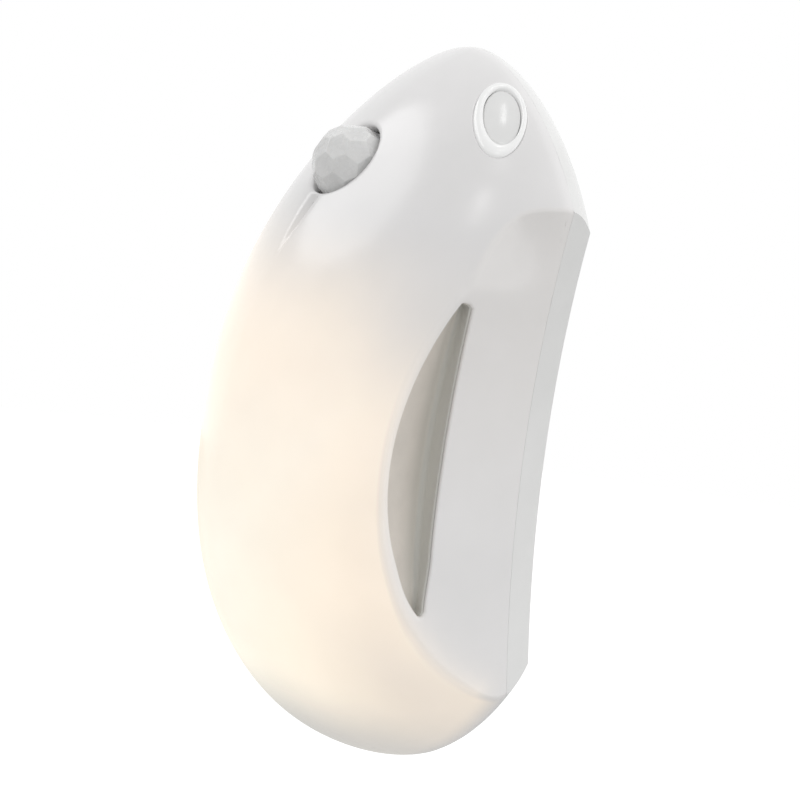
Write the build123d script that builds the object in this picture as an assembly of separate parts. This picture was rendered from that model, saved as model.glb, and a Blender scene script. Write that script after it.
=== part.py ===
from build123d import *
import os
from math import cos, pi, radians, sin

# Plug-in night light with a motion sensor. Millimetres.
# Origin: centre of the flat rear face that lies on the wall. Front is -Y, up is +Z.

# Pod: an egg-shaped shell, widest a little in front of the wall, with two waisted cheeks.
HALF_HEIGHT = 53.5
HALF_WIDTH = 45.0
FRONT_DEPTH = 33.0
WIDEST_DEPTH = 4.6
REAR_TAPER_DEPTH = 14.0
BELLY_DROP = 0.27
WIDTH_POWER = 1.67
HEIGHT_POWER = 2.25
FRONT_POWER = 1.4
REAR_POWER = 1.95
CHEEK_HALF_SPAN = 33.6
CHEEK_SAG = 4.4
CHEEK_HALF_HEIGHT = 34.0
PAST_WALL = 1.0

# Shells and the seam between them
PARTING_DEPTH = 3.4
COVER_WALL = 2.0
HOUSING_WALL = 2.2
LIP_WALL = 1.2
LIP_HEIGHT = 2.6
SHELL_GAP = 0.1

# Crease down the middle of the cover, from the lens's lower rim until it fades out
CREASE_TURNS = (0.72, 0.53)
CREASE_RADIUS = 1.6
CREASE_DEPTH = 0.45

# Finger scoops: straight rear edge, curved front edge, deepest at the rear
SCOOP_TOP = 20.8
SCOOP_BOTTOM = -23.6
SCOOP_REAR = -16.2
SCOOP_BULGE = 6.9
SCOOP_SKEW = 0.17
SCOOP_TIP = 0.8
SCOOP_DEPTH = 4.8
SCOOP_RIM = 0.35
GRIP_WALL = 1.2
GRIP_LINING = 0.6

# Motion lens, its holder and the sensor board behind it, on one tilted axis
LENS_HEIGHT = 36.2
LENS_DEPTH = 23.0
LENS_ELEVATION = 36.0
LENS_RADIUS = 6.25
LENS_RISE = 4.9
LENS_SEAT = 3.2
LENS_FLANGE_RADIUS = 7.6
LENS_FLANGE = 1.0
LENS_CLEARANCE = 0.15
HOLDER_HEIGHT = 4.0
SENSOR_BOARD = (20.0, 17.5, 1.2)
SENSOR_BOARD_RISE = 0.75
SENSOR_CAN_RADIUS = 4.1
SENSOR_CAN_HEIGHT = 4.2
SENSOR_WINDOW = (4.0, 3.0, 0.15)
SENSOR_PIN_TURNS = (90, 210, 330)
SENSOR_PIN_CIRCLE = 2.5
SENSOR_PIN_RADIUS = 0.225
PHOTOCELL_AT = 8.5
CHIP_AT = 5.6

# Mode button on the right shoulder, square to its own slide axis
BUTTON_AT = (18.5, -8.0, 45.9)
BUTTON_LEAN = 30.0
BUTTON_TURN = -13.0
BUTTON_RADII = (5.6, 2.35)
BEZEL_RADII = (7.3, 3.2)
BEZEL_SHIFT = (0.15, -0.3)
BEZEL_PROUD = 0.45
BEZEL_FOOT = -5.3
BUTTON_TRAVEL = 0.8
BUTTON_CLEARANCE = 0.1
BUTTON_SUNK = 0.1
BUTTON_FLANGE = 1.0
BUTTON_FLANGE_REACH = 0.55
PUSH_GAP = 0.06
PLUNGER_TOP = -7.0
PLUNGER_RADIUS = 1.5
PLUNGER_DEPTH = 2.2
SWITCH_TOP = -8.5
SWITCH_SIZE = (6.0, 4.3, 5.0)
SWITCH_LEGS = [(x, SWITCH_TOP - z) for x in (-2.6, 2.6) for z in (0.8, 4.2)]
SWITCH_LEG = (0.7, 2.0, 0.4)
SWITCH_BOARD = (13.0, 1.2, 9.6)

# Plug: two flat blades in a hub that swings up out of a well in the back.
# They are drawn folded, pointing down, and turn 90 degrees about +X to point at the wall.
PIVOT_DEPTH = 3.5
PIVOT_HEIGHT = 8.0
HUB_RADIUS = 3.2
HUB_LENGTH = 18.6
HUB_PLAY = 0.3
HUB_WINDOW = 4.8
PIN_RADIUS = 1.2
PIN_END = 11.3
PIN_PLAY = 0.08
BLADE_SPACING = 12.7
BLADE_THICKNESS = 1.52
BLADE_WIDTH = 6.35
BLADE_LENGTH = 17.0
BLADE_ROOT = 0.35
BLADE_TAB = 3.6
BLADE_HOLE_RADIUS = 1.6
BLADE_HOLE_AT = 11.7
BLADE_TIP_RADIUS = 2.0
SLOT_PLAY = 0.3
SLOT_FLOOR = 7.0
SLOT_END = -13.0
WELL_SIZE = (24.8, 27.8)
WELL_DEPTH = 8.0
WELL_CENTRE = -0.7
FINGER_NOTCH = (20.0, 8.0)
FINGER_NOTCH_AT = -9.4
FINGER_NOTCH_DEPTH = 3.0
CONTACT_AT = 10.6
CONTACT_STRIP = (0.8, 2.2)
CONTACT_FOOT = (1.5, 0.55)

# Boards and the light box, as distances in front of the wall
MAIN_BOARD = (27.0, 1.6, 56.0)
MAIN_BOARD_AT = 9.0
MAIN_BOARD_CENTRE = -1.0
TUB_AT = 19.0
TUB_WALL = 1.2
TUB_HALF_WIDTH = 20.5
TUB_TOP = 19.0
TUB_BOTTOM = -44.0
TUB_CORNER = 7.0
LED_BOARD = (24.0, 1.2, 48.0)
LED_CENTRE = -13.0
LED_SIZE = (3.5, 0.7, 2.8)
LED_COLUMNS = (-7.0, 7.0)
LED_ROWS = 5
LED_PITCH = 9.6
LAMP_LEADS = [(-3.0, 8.0), (3.0, 8.0)]
LEAD_RADIUS = 0.5

# Screws: length under the head, shank radius, head radius
HOUSING_SCREW = (8.5, 1.1, 2.5)
TUB_SCREW = (6.0, 0.85, 1.9)
BOARD_SCREW = (5.0, 0.85, 1.9)
SENSOR_SCREW = (4.0, 0.75, 1.5)
SWITCH_SCREW = (2.9, 0.65, 1.3)
SCREW_CLEARANCE = 0.2
HOUSING_SCREW_SINK = 2.4

# Where the screws stand: X and Z on the wall, or X and Y across a frame's own axis
COVER_SCREWS = [(-24.5, 30.0), (24.5, 30.0), (-24.5, -31.0), (24.5, -31.0)]
TUB_POSTS = [(-17.0, 12.0), (17.0, 12.0), (-13.5, -37.0), (13.5, -37.0)]
BOARD_SCREWS = [(-11.0, 23.0), (11.0, -25.5)]
SWITCH_SCREWS = [(-4.6, -15.0), (4.6, -15.0)]
SENSOR_SCREWS = [(-7.9, -5.6), (7.9, -5.6)]

BIG = 200.0


# --- Pod shape ---------------------------------------------------------------------------

def width_share(x, inset):
    """How much of the pod's height and depth is left at x."""
    return 1 - (abs(x) / (HALF_WIDTH - inset)) ** WIDTH_POWER


def front_point(x, turn, inset=0.0):
    """A point of the front skin: turn runs from -pi/2 at the bottom to pi/2 at the top."""
    share = width_share(x, inset)
    out = (FRONT_DEPTH - inset) * share ** (1 / FRONT_POWER) * max(cos(turn), 0.0) ** (2 / FRONT_POWER)
    rise = (HALF_HEIGHT - inset) * share ** (1 / HEIGHT_POWER) * abs(sin(turn)) ** (2 / HEIGHT_POWER)
    rise = rise if turn > 0 else -rise
    return Vector(x, -WIDEST_DEPTH - out, rise - BELLY_DROP * out)


def taper_point(x, back, side, inset=0.0):
    """A point of the tapered edge, back from the widest line; side is 1 at the top."""
    rest = width_share(x, inset) - (back / REAR_TAPER_DEPTH) ** REAR_POWER
    rise = side * (HALF_HEIGHT - inset) * rest ** (1 / HEIGHT_POWER)
    return Vector(x, back - WIDEST_DEPTH, rise + BELLY_DROP * back)


def pod_section(x, inset):
    """The pod cut by the plane at x: front curve, tapered edge, wall line, tapered edge."""
    steps = 32
    shares = [i / steps for i in range(steps + 1)]
    front = [front_point(x, (2 * i / steps - 1) * pi / 2, inset) for i in range(steps + 1)]
    backs = [(WIDEST_DEPTH + PAST_WALL) * i / 4 for i in range(5)]
    top = [taper_point(x, back, 1, inset) for back in backs]
    bottom = [taper_point(x, back, -1, inset) for back in reversed(backs)]
    edges = [
        Edge.make_spline(front, parameters=shares),
        Edge.make_spline(top, parameters=[i / 4 for i in range(5)]),
        Edge.make_line(top[-1], bottom[0]),
        Edge.make_spline(bottom, parameters=[i / 4 for i in range(5)]),
    ]
    return Wire(edges)


def cheek_cutter(inset):
    """The two large upright rollers whose sides hollow the cheeks."""
    radius = (CHEEK_HALF_HEIGHT ** 2 + CHEEK_SAG ** 2) / (2 * CHEEK_SAG)
    centre = CHEEK_HALF_SPAN - CHEEK_SAG + radius
    roller = Rot(90, 0, 0) * Cylinder(radius + inset, BIG)
    return [Pos(side * centre, 0, 0) * roller for side in (-1, 1)]


def pod(inset):
    """The pod as a solid that runs a little past the wall, its skin moved inwards by inset."""
    past_cheek = 0.6
    reach = CHEEK_HALF_SPAN + past_cheek
    spans = [reach * part for part in (0, 0.14, 0.34, 0.54, 0.72, 0.87, 1)]
    places = [-x for x in reversed(spans[1:])] + spans
    body = Solid.make_loft([pod_section(x, inset) for x in places])
    return body - cheek_cutter(inset)


def slab(front, back):
    """Everything between two depths, measured along Y."""
    return Pos(0, (front + back) / 2, 0) * Box(BIG, back - front, BIG)


# --- Local frames ------------------------------------------------------------------------

def lens_frame():
    """Origin on the pod's skin, +Z out along the lens axis, +Y up the skin."""
    tilt = radians(LENS_ELEVATION)
    axis = (0, -cos(tilt), sin(tilt))
    return Plane(origin=(0, -LENS_DEPTH, LENS_HEIGHT), x_dir=(1, 0, 0), z_dir=axis)


def button_frame():
    """Origin on the pod's skin, +Z out along the button's slide axis, +Y to the wall."""
    lean = radians(BUTTON_LEAN)
    axis = (sin(lean), 0, cos(lean))
    return Plane(origin=BUTTON_AT, x_dir=(cos(lean), 0, -sin(lean)), z_dir=axis)


def post(frame, x, y, low, high, radius):
    """A round post along a frame's +Z between two heights."""
    return frame * Pos(x, y, (low + high) / 2) * Cylinder(radius, high - low)


def wall_post(x, z, front, back, radius):
    """A round post square to the wall between two depths."""
    return Pos(x, (front + back) / 2, z) * Rot(90, 0, 0) * Cylinder(radius, back - front)


def oval(radii, grow, low, high, shift=(0, 0)):
    """An oval bar along the button's axis."""
    face = Ellipse(radii[0] + grow, radii[1] + grow, rotation=BUTTON_TURN)
    return button_frame() * Pos(shift[0], shift[1], low) * extrude(face, high - low)


def bezel_oval(grow, low, high):
    """The bezel's outer oval, set a little to the front of the button."""
    return oval(BEZEL_RADII, grow, low, high, BEZEL_SHIFT)


def one(shape):
    """The single solid of a shape."""
    solids = shape.solids()
    return solids[0] if len(solids) == 1 else Compound(children=list(solids))


# --- Finger scoops -----------------------------------------------------------------------

def scoop_front(share):
    """The crescent's front edge as (Y, Z); share runs from -1 at its lower tip to 1."""
    middle = (SCOOP_TOP + SCOOP_BOTTOM) / 2
    half = (SCOOP_TOP - SCOOP_BOTTOM) / 2
    bow = SCOOP_BULGE * (1 - share ** 2) ** 0.9 * (1 - SCOOP_SKEW * share)
    return (SCOOP_REAR - SCOOP_TIP - bow, middle + half * share)


def scoop_outline():
    """The crescent seen square from the side, drawn on YZ as a face."""
    edge = Polyline(
        (SCOOP_REAR - SCOOP_TIP, SCOOP_BOTTOM),
        (SCOOP_REAR, SCOOP_BOTTOM + SCOOP_TIP),
        (SCOOP_REAR, SCOOP_TOP - SCOOP_TIP),
        (SCOOP_REAR - SCOOP_TIP, SCOOP_TOP),
    )
    bow = Spline(*[scoop_front(share) for share in (1, 0.86, 0.6, 0.3, 0, -0.3, -0.6, -0.86, -1)])
    return make_face(edge + bow)


def scoop_prism(side):
    """The crescent as a bar running inwards through the cheek."""
    inner_end = 20.0
    bar = extrude(Plane.YZ * scoop_outline(), HALF_WIDTH - inner_end)
    bar = Pos(inner_end, 0, 0) * bar
    return bar if side > 0 else mirror(bar, Plane.YZ)


def scoop_floor(side, extra):
    """The roller that hollows the grip: a cylinder sloping outwards as it runs forward."""
    waist = CHEEK_HALF_SPAN - CHEEK_SAG
    middle = (SCOOP_TOP + SCOOP_BOTTOM) / 2
    half = (SCOOP_TOP - SCOOP_BOTTOM) / 2
    cheek_bow = 1.6
    front_depth = 0.7
    drop = SCOOP_DEPTH + cheek_bow
    radius = (half ** 2 + drop ** 2) / (2 * drop)
    slope = Vector(SCOOP_DEPTH - front_depth, -SCOOP_BULGE - SCOOP_TIP, 0).normalized()
    outward = Vector(-slope.Y, slope.X, 0)
    deep = Vector(waist - SCOOP_DEPTH, SCOOP_REAR, middle)
    axis_plane = Plane(origin=deep + outward * radius, x_dir=(0, 0, 1), z_dir=slope)
    roller = axis_plane * Cylinder(radius + extra, BIG / 3)
    return roller if side > 0 else mirror(roller, Plane.YZ)


def between_cheeks(inset):
    """Everything between the two cheeks, each moved inwards by inset."""
    return Box(BIG, BIG, BIG) - cheek_cutter(inset)


def grip(side):
    """Soft-touch insert: lines the crescent and hooks behind the cheek by a rear tab."""
    block = scoop_prism(side) & scoop_floor(side, GRIP_WALL)
    block = block & between_cheeks(SCOOP_RIM)
    hollow = scoop_floor(side, 0) & slab(-BIG / 2, SCOOP_REAR - GRIP_LINING)
    insert = block - hollow
    tab_size = (9.0, 3.2, 34.0)
    tab_back = 1.4
    tab = Pos(side * (CHEEK_HALF_SPAN - 6.1), SCOOP_REAR + tab_back, -tab_back) * Box(*tab_size)
    tab = tab & between_cheeks(COVER_WALL) - between_cheeks(COVER_WALL + GRIP_WALL)
    return one(insert + tab)


# --- Shells ------------------------------------------------------------------------------

BOARD_FACE = -MAIN_BOARD_AT - MAIN_BOARD[1]
LENS_BACK = -LENS_SEAT - LENS_FLANGE
BOARD_TOP = LENS_BACK - HOLDER_HEIGHT
BOSS_FOOT = -5.4


def crease():
    """A round bar sunk into the skin below the lens, rising until it leaves it."""
    high, low = [front_point(0, turn) for turn in CREASE_TURNS]
    run = low - high
    outward = Vector(0, run.Z, -run.Y).normalized()
    start = high + outward * (CREASE_RADIUS - CREASE_DEPTH)
    end = low + outward * CREASE_RADIUS
    middle = Plane(origin=(start + end) / 2, x_dir=(1, 0, 0), z_dir=end - start)
    return middle * Cylinder(CREASE_RADIUS, (end - start).length + CREASE_RADIUS)


def front_cover():
    """Milky one-piece shell with the screw bosses and the lens seat moulded inside."""
    outer = pod(0)
    front = slab(-BIG, -PARTING_DEPTH)
    shell = outer & front
    shell = shell - (pod(COVER_WALL) & slab(-BIG, -PARTING_DEPTH + 1))
    boss_radius = 3.2
    post_radius = 1.8
    added = [post(lens_frame(), 0, 0, -LENS_SEAT, 2, LENS_FLANGE_RADIUS + 1.2)]
    for x, z in COVER_SCREWS:
        added.append(wall_post(x, z, -BIG / 4, BOSS_FOOT, boss_radius))
    for x, y in SENSOR_SCREWS:
        added.append(post(lens_frame(), x, y, BOARD_TOP, 3, post_radius))
    for boss in added:
        shell = shell + (boss & outer & front)
    bore = LENS_RADIUS + LENS_CLEARANCE
    mouth_flare, mouth_height, mouth_at = 1.75, 2.2, 0.4
    shell = shell - post(lens_frame(), 0, 0, -LENS_SEAT - 1, 8, bore)
    shell = shell - lens_frame() * Pos(0, 0, mouth_at) * Cone(bore, bore + mouth_flare, mouth_height)
    for x, z in COVER_SCREWS:
        tip = -HOUSING_SCREW_SINK - HOUSING_SCREW[0]
        shell = shell - wall_post(x, z, tip - 1.5, BOSS_FOOT + 0.4, HOUSING_SCREW[1])
    for x, y in SENSOR_SCREWS:
        shell = shell - post(lens_frame(), x, y, BOARD_TOP - 1, BOARD_TOP + SENSOR_SCREW[0], SENSOR_SCREW[1])
    shell = shell - bezel_oval(0, -12, 8) - crease()
    for side in (-1, 1):
        shell = shell - scoop_prism(side)
    return one(shell)


def rear_housing():
    """Opaque tray: tapered edge, wall, locating lip, screw posts and blade slots."""
    tray = pod(0) & slab(-PARTING_DEPTH, 0)
    lip = pod(COVER_WALL + SHELL_GAP) & slab(-PARTING_DEPTH - LIP_HEIGHT, -PARTING_DEPTH)
    hollow = pod(COVER_WALL + SHELL_GAP + LIP_WALL) & slab(-BIG, -HOUSING_WALL)
    tray = tray + lip - hollow
    added = []
    cut = []
    for x, z in COVER_SCREWS:
        added.append(wall_post(x, z, BOSS_FOOT, -HOUSING_WALL, 3.4))
        cut.append(wall_post(x, z, BOSS_FOOT - 1, 1, HOUSING_SCREW[1] + 0.35))
        cut.append(wall_post(x, z, -HOUSING_SCREW_SINK, 1, HOUSING_SCREW[2] + 0.3))
    for x, z in TUB_POSTS:
        added.append(wall_post(x, z, -TUB_AT, -HOUSING_WALL, 2.8))
        cut.append(wall_post(x, z, -TUB_AT - 1, -TUB_AT + TUB_SCREW[0] + 1, TUB_SCREW[1]))
    for x, z in BOARD_SCREWS:
        added.append(wall_post(x, z, -MAIN_BOARD_AT, -HOUSING_WALL, 2.2))
        cut.append(wall_post(x, z, -MAIN_BOARD_AT - 1, -MAIN_BOARD_AT + BOARD_SCREW[0], BOARD_SCREW[1]))
    for x, depth in SWITCH_SCREWS:
        place = button_frame().from_local_coords(Vector(x, 0, depth))
        front = BUTTON_AT[1] + SWITCH_SIZE[1] / 2 + SWITCH_BOARD[1]
        added.append(wall_post(place.X, place.Z, front, -HOUSING_WALL, 1.8))
        cut.append(wall_post(place.X, place.Z, front - 1, front + SWITCH_SCREW[0] - 1, SWITCH_SCREW[1]))
    well_height = WELL_DEPTH - HOUSING_WALL
    well = Box(WELL_SIZE[0], well_height, WELL_SIZE[1])
    added.append(Pos(0, -HOUSING_WALL - well_height / 2, WELL_CENTRE) * fillet(well.edges().filter_by(Axis.Y), 2))
    cut.append(bezel_oval(0.5, -9, 4))
    for shape in added:
        tray = tray + shape
    for shape in cut:
        tray = tray - shape
    return one(tray - plug_well())


# --- Plug --------------------------------------------------------------------------------

def across(x, radius, length):
    """A round bar along X on the plug's pivot axis."""
    return Pos(x, -PIVOT_DEPTH, PIVOT_HEIGHT) * Rot(0, 90, 0) * Cylinder(radius, length)


def plug_block(x, width, front, back, low, high):
    """A block given by its middle and width on X, its depths and its heights."""
    return Pos(x, (front + back) / 2, (low + high) / 2) * Box(width, back - front, high - low)


def plug_well():
    """What the well leaves free: hub pocket, pin grooves, blade slots and finger notch."""
    pocket = HUB_RADIUS + HUB_PLAY
    groove = PIN_RADIUS + PIN_PLAY
    groove_length = 2 * (PIN_END + HUB_PLAY)
    low, high = PIVOT_HEIGHT - pocket, PIVOT_HEIGHT + pocket
    front = -WELL_DEPTH - 1
    free = across(0, pocket, HUB_LENGTH + 2 * HUB_PLAY)
    free = free + plug_block(0, HUB_LENGTH + 2 * HUB_PLAY, front, -PIVOT_DEPTH, low, high)
    free = free + across(0, groove, groove_length)
    free = free + plug_block(0, groove_length, front, -PIVOT_DEPTH, PIVOT_HEIGHT - groove, PIVOT_HEIGHT + groove)
    half_window = HUB_WINDOW / 2
    free = free + plug_block(0, HUB_LENGTH, -PIVOT_DEPTH, 1, PIVOT_HEIGHT - half_window, PIVOT_HEIGHT + half_window)
    for side in (-1, 1):
        x, width = side * BLADE_SPACING / 2, BLADE_THICKNESS + 2 * SLOT_PLAY
        free = free + plug_block(x, width, -SLOT_FLOOR, 1, SLOT_END, PIVOT_HEIGHT)
        free = free + plug_block(x, width, -PIVOT_DEPTH, 1, PIVOT_HEIGHT, high)
    notch = extrude(Plane.XZ * RectangleRounded(*FINGER_NOTCH, 3), FINGER_NOTCH_DEPTH + 1)
    return free + Pos(0, 1, FINGER_NOTCH_AT) * notch


def blade(side):
    """Brass blade, folded down: rounded tip, locking hole, and a pivot pin at its root."""
    x = side * BLADE_SPACING / 2
    tip = PIVOT_HEIGHT - PIVOT_DEPTH - BLADE_LENGTH
    half = BLADE_WIDTH / 2
    plate = plug_block(x, BLADE_THICKNESS, -PIVOT_DEPTH - half, half - PIVOT_DEPTH, tip, PIVOT_HEIGHT + BLADE_ROOT)
    plate = fillet(plate.edges().filter_by(Axis.X).sort_by(Axis.Z)[:2], BLADE_TIP_RADIUS)
    plate = plate + Pos(x, -PIVOT_DEPTH, PIVOT_HEIGHT) * Box(BLADE_THICKNESS, BLADE_TAB, BLADE_TAB)
    hole_at = PIVOT_HEIGHT - PIVOT_DEPTH - BLADE_HOLE_AT
    hole = Pos(x, -PIVOT_DEPTH, hole_at) * Rot(0, 90, 0) * Cylinder(BLADE_HOLE_RADIUS, 2 * BLADE_THICKNESS)
    inner_end = (BLADE_SPACING - BLADE_THICKNESS) / 2
    pin = across(side * (inner_end + PIN_END) / 2, PIN_RADIUS, PIN_END - inner_end)
    return one(plate - hole + pin)


def plug_hub():
    """Round insulating bar moulded over the roots of both blades."""
    hub = across(0, HUB_RADIUS, HUB_LENGTH)
    hub = chamfer(hub.edges().filter_by(GeomType.CIRCLE), 0.3)
    return one(hub - blade(-1) - blade(1))


def plug_contacts():
    """Two bronze contacts that press on the pivot pins and are soldered to the main board."""
    strip, tall = CONTACT_STRIP
    foot, foot_height = CONTACT_FOOT
    pressed = -PIVOT_DEPTH - PIN_RADIUS / 2
    foot_front = -PIVOT_DEPTH - PIN_RADIUS - foot_height
    tail_end = BOARD_FACE - 1.0
    low, high = PIVOT_HEIGHT - tall / 2, PIVOT_HEIGHT + tall / 2
    made = []
    for side in (-1, 1):
        x = side * CONTACT_AT
        contact = plug_block(x, strip, tail_end, foot_front + 0.1, low, high)
        contact = contact + plug_block(x, foot, foot_front, pressed, low, high)
        made.append(one(contact - across(x, PIN_RADIUS + PIN_PLAY, 2 * foot)))
    return group(made)


# --- Motion sensor -----------------------------------------------------------------------

def pir_lens():
    """Faceted Fresnel dome on a short barrel with a flange inside the cover."""
    facets = 10
    rings = [(0.0, 1.0), (0.42, 0.88), (0.74, 0.6), (0.93, 0.28)]
    profiles = []
    for turn, (rise, spread) in enumerate(rings):
        outline = RegularPolygon(LENS_RADIUS * spread, facets, rotation=turn * 180 / facets)
        profiles.append(Pos(0, 0, rise * LENS_RISE) * outline)
    dome = loft(profiles, ruled=True)
    barrel = Pos(0, 0, -LENS_SEAT / 2) * Cylinder(LENS_RADIUS, LENS_SEAT)
    flange = Pos(0, 0, LENS_BACK + LENS_FLANGE / 2) * Cylinder(LENS_FLANGE_RADIUS, LENS_FLANGE)
    wall, crown_hollow = 0.9, 2.2
    height = LENS_RISE - LENS_BACK - 1.4
    hollow = Cone(LENS_RADIUS - wall, crown_hollow, height, align=(Align.CENTER, Align.CENTER, Align.MIN))
    return one(lens_frame() * (dome + barrel + flange - Pos(0, 0, LENS_BACK) * hollow))


def lens_holder():
    """Black tube that presses the lens flange to its seat and keeps stray light out."""
    outer, inner = LENS_FLANGE_RADIUS - 0.7, LENS_RADIUS - 0.65
    tube = post(lens_frame(), 0, 0, BOARD_TOP, LENS_BACK, outer)
    return one(tube - post(lens_frame(), 0, 0, BOARD_TOP - 1, LENS_BACK + 1, inner))


def sensor_pins(low, high):
    """The sensor's three pins between two heights on the lens axis."""
    made = []
    for turn in SENSOR_PIN_TURNS:
        x = SENSOR_PIN_CIRCLE * cos(radians(turn))
        y = SENSOR_PIN_CIRCLE * sin(radians(turn))
        made.append(post(lens_frame(), x, y, low, high, SENSOR_PIN_RADIUS))
    return made


def pir_sensor():
    """Pyroelectric sensor: metal can with a brim, a window recess and three pins."""
    brim_height, brim_reach, pin_length = 0.5, 0.5, 3.0
    top = BOARD_TOP + SENSOR_CAN_HEIGHT
    can = post(lens_frame(), 0, 0, BOARD_TOP, top, SENSOR_CAN_RADIUS)
    brim = post(lens_frame(), 0, 0, BOARD_TOP, BOARD_TOP + brim_height, SENSOR_CAN_RADIUS + brim_reach)
    width, height, thickness = SENSOR_WINDOW
    recess = lens_frame() * Pos(0, 0, top) * Box(width, height, 2 * thickness)
    body = can + brim - recess
    for pin in sensor_pins(BOARD_TOP - pin_length, BOARD_TOP + 0.1):
        body = body + pin
    return one(body)


def pir_window():
    """Silicon filter set in the can's top."""
    middle = BOARD_TOP + SENSOR_CAN_HEIGHT - SENSOR_WINDOW[2] / 2
    return one(lens_frame() * Pos(0, 0, middle) * Box(*SENSOR_WINDOW))


def light_sensor():
    """Round photocell on its foot, above the lens holder."""
    foot = post(lens_frame(), 0, PHOTOCELL_AT, BOARD_TOP, BOARD_TOP + 1.8, 1.0)
    head = post(lens_frame(), 0, PHOTOCELL_AT, BOARD_TOP + 0.9, BOARD_TOP + 2.2, 1.5)
    return one(foot + head)


def sensor_board():
    """Small board square to the lens axis, drilled for its screws and pins."""
    width, height, thickness = SENSOR_BOARD
    corner = 1.5
    board = Pos(0, SENSOR_BOARD_RISE, BOARD_TOP - thickness / 2) * Box(width, height, thickness)
    board = lens_frame() * fillet(board.edges().filter_by(Axis.Z), corner)
    low, high = BOARD_TOP - thickness - 1, BOARD_TOP + 1
    for x, y in SENSOR_SCREWS:
        board = board - post(lens_frame(), x, y, low, high, SENSOR_SCREW[1] + SCREW_CLEARANCE)
    return one(board - sensor_pins(low, high))


def sensor_chip():
    """Motion controller in an eight-lead package on the back of the sensor board."""
    back = BOARD_TOP - SENSOR_BOARD[2]
    width, height, thickness, stand_off = 4.9, 3.9, 1.4, 0.15
    lead_pitch, lead_size = 1.27, (0.42, 1.1, 0.6)
    chip = Pos(0, CHIP_AT, back - stand_off - thickness / 2) * Box(width, height, thickness)
    for i in range(4):
        for side in (-1, 1):
            y = CHIP_AT + side * (height / 2 + 0.5)
            chip = chip + Pos((i - 1.5) * lead_pitch, y, back - lead_size[2] / 2) * Box(*lead_size)
    return one(lens_frame() * chip)


# --- Screws ------------------------------------------------------------------------------

WALL_FRAME = Plane(origin=(0, 0, 0), x_dir=(1, 0, 0), z_dir=(0, -1, 0))


def screw(frame, x, y, head_at, direction, size):
    """Pan-head screw: head_at is the face it clamps, direction points to its tip."""
    length, shank, head = size
    head_height = head * 0.55
    top = Pos(x, y, head_at - direction * head_height / 2) * Cylinder(head, head_height)
    rims = top.edges().filter_by(GeomType.CIRCLE).sort_by(Axis.Z)
    top = fillet(rims[0 if direction > 0 else -1], head_height / 2)
    body = Pos(x, y, head_at + direction * length / 2) * Cylinder(shank, length)
    long, narrow, deep = head * 1.1, head * 0.22, head * 0.6
    cross = Box(long, narrow, deep) + Box(narrow, long, deep)
    return one(frame * (top + body - Pos(x, y, head_at - direction * head_height) * cross))


def group(solids):
    """Identical solids that share one node."""
    return Compound(children=list(solids))


def housing_screws():
    """Four screws driven from the rear face into the cover's bosses."""
    return group(screw(WALL_FRAME, x, z, HOUSING_SCREW_SINK, 1, HOUSING_SCREW) for x, z in COVER_SCREWS)


def tub_screws():
    """Four screws that hold the light box to the housing's tall posts."""
    return group(screw(WALL_FRAME, x, z, TUB_AT + TUB_WALL, -1, TUB_SCREW) for x, z in TUB_POSTS)


def board_screws():
    """Two screws that hold the main board."""
    top = MAIN_BOARD_AT + MAIN_BOARD[1]
    return group(screw(WALL_FRAME, x, z, top, -1, BOARD_SCREW) for x, z in BOARD_SCREWS)


def sensor_screws():
    """Two screws that hold the sensor board to the cover's posts."""
    back = BOARD_TOP - SENSOR_BOARD[2]
    return group(screw(lens_frame(), x, y, back, 1, SENSOR_SCREW) for x, y in SENSOR_SCREWS)


# --- Mode button -------------------------------------------------------------------------

def skin_block(inset):
    """The pod's front skin as a block, for trimming parts that follow it."""
    return pod(inset) & slab(-BIG, -PARTING_DEPTH + 0.3)


def button_bezel():
    """Glossy oval ring pressed into the cover, a little proud of the skin."""
    ring = bezel_oval(0, BEZEL_FOOT, 6) - oval(BUTTON_RADII, 0, BEZEL_FOOT - 1, 7)
    return one(ring & skin_block(-BEZEL_PROUD))


def mode_button():
    """Oval cap that follows the skin, with a retaining flange and a stem."""
    top = BEZEL_FOOT - PUSH_GAP
    cap = oval(BUTTON_RADII, -BUTTON_CLEARANCE, top, 6) & skin_block(-BUTTON_SUNK)
    flange = oval(BUTTON_RADII, BUTTON_FLANGE_REACH, top - BUTTON_FLANGE, top)
    stem = post(button_frame(), 0, 0, PLUNGER_TOP + PUSH_GAP, top, PLUNGER_RADIUS + 0.1)
    return one(cap + flange + stem)


def mode_switch():
    """Side-acting push switch with a bored nose for its plunger and four legs."""
    width, deep, tall = SWITCH_SIZE
    bore_depth = PLUNGER_DEPTH + BUTTON_TRAVEL + 0.3
    leg_width, leg_length, leg_height = SWITCH_LEG
    body = Pos(0, 0, SWITCH_TOP - tall / 2) * Box(width, deep, tall)
    body = body - Pos(0, 0, SWITCH_TOP - bore_depth / 2) * Cylinder(PLUNGER_RADIUS + 0.05, bore_depth)
    for x, z in SWITCH_LEGS:
        body = body + Pos(x, (deep + leg_length) / 2 - 0.1, z) * Box(leg_width, leg_length, leg_height)
    return one(button_frame() * body)


def switch_plunger():
    """Plunger that carries the button's stroke into the switch."""
    return one(post(button_frame(), 0, 0, SWITCH_TOP - PLUNGER_DEPTH, PLUNGER_TOP, PLUNGER_RADIUS))


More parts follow.
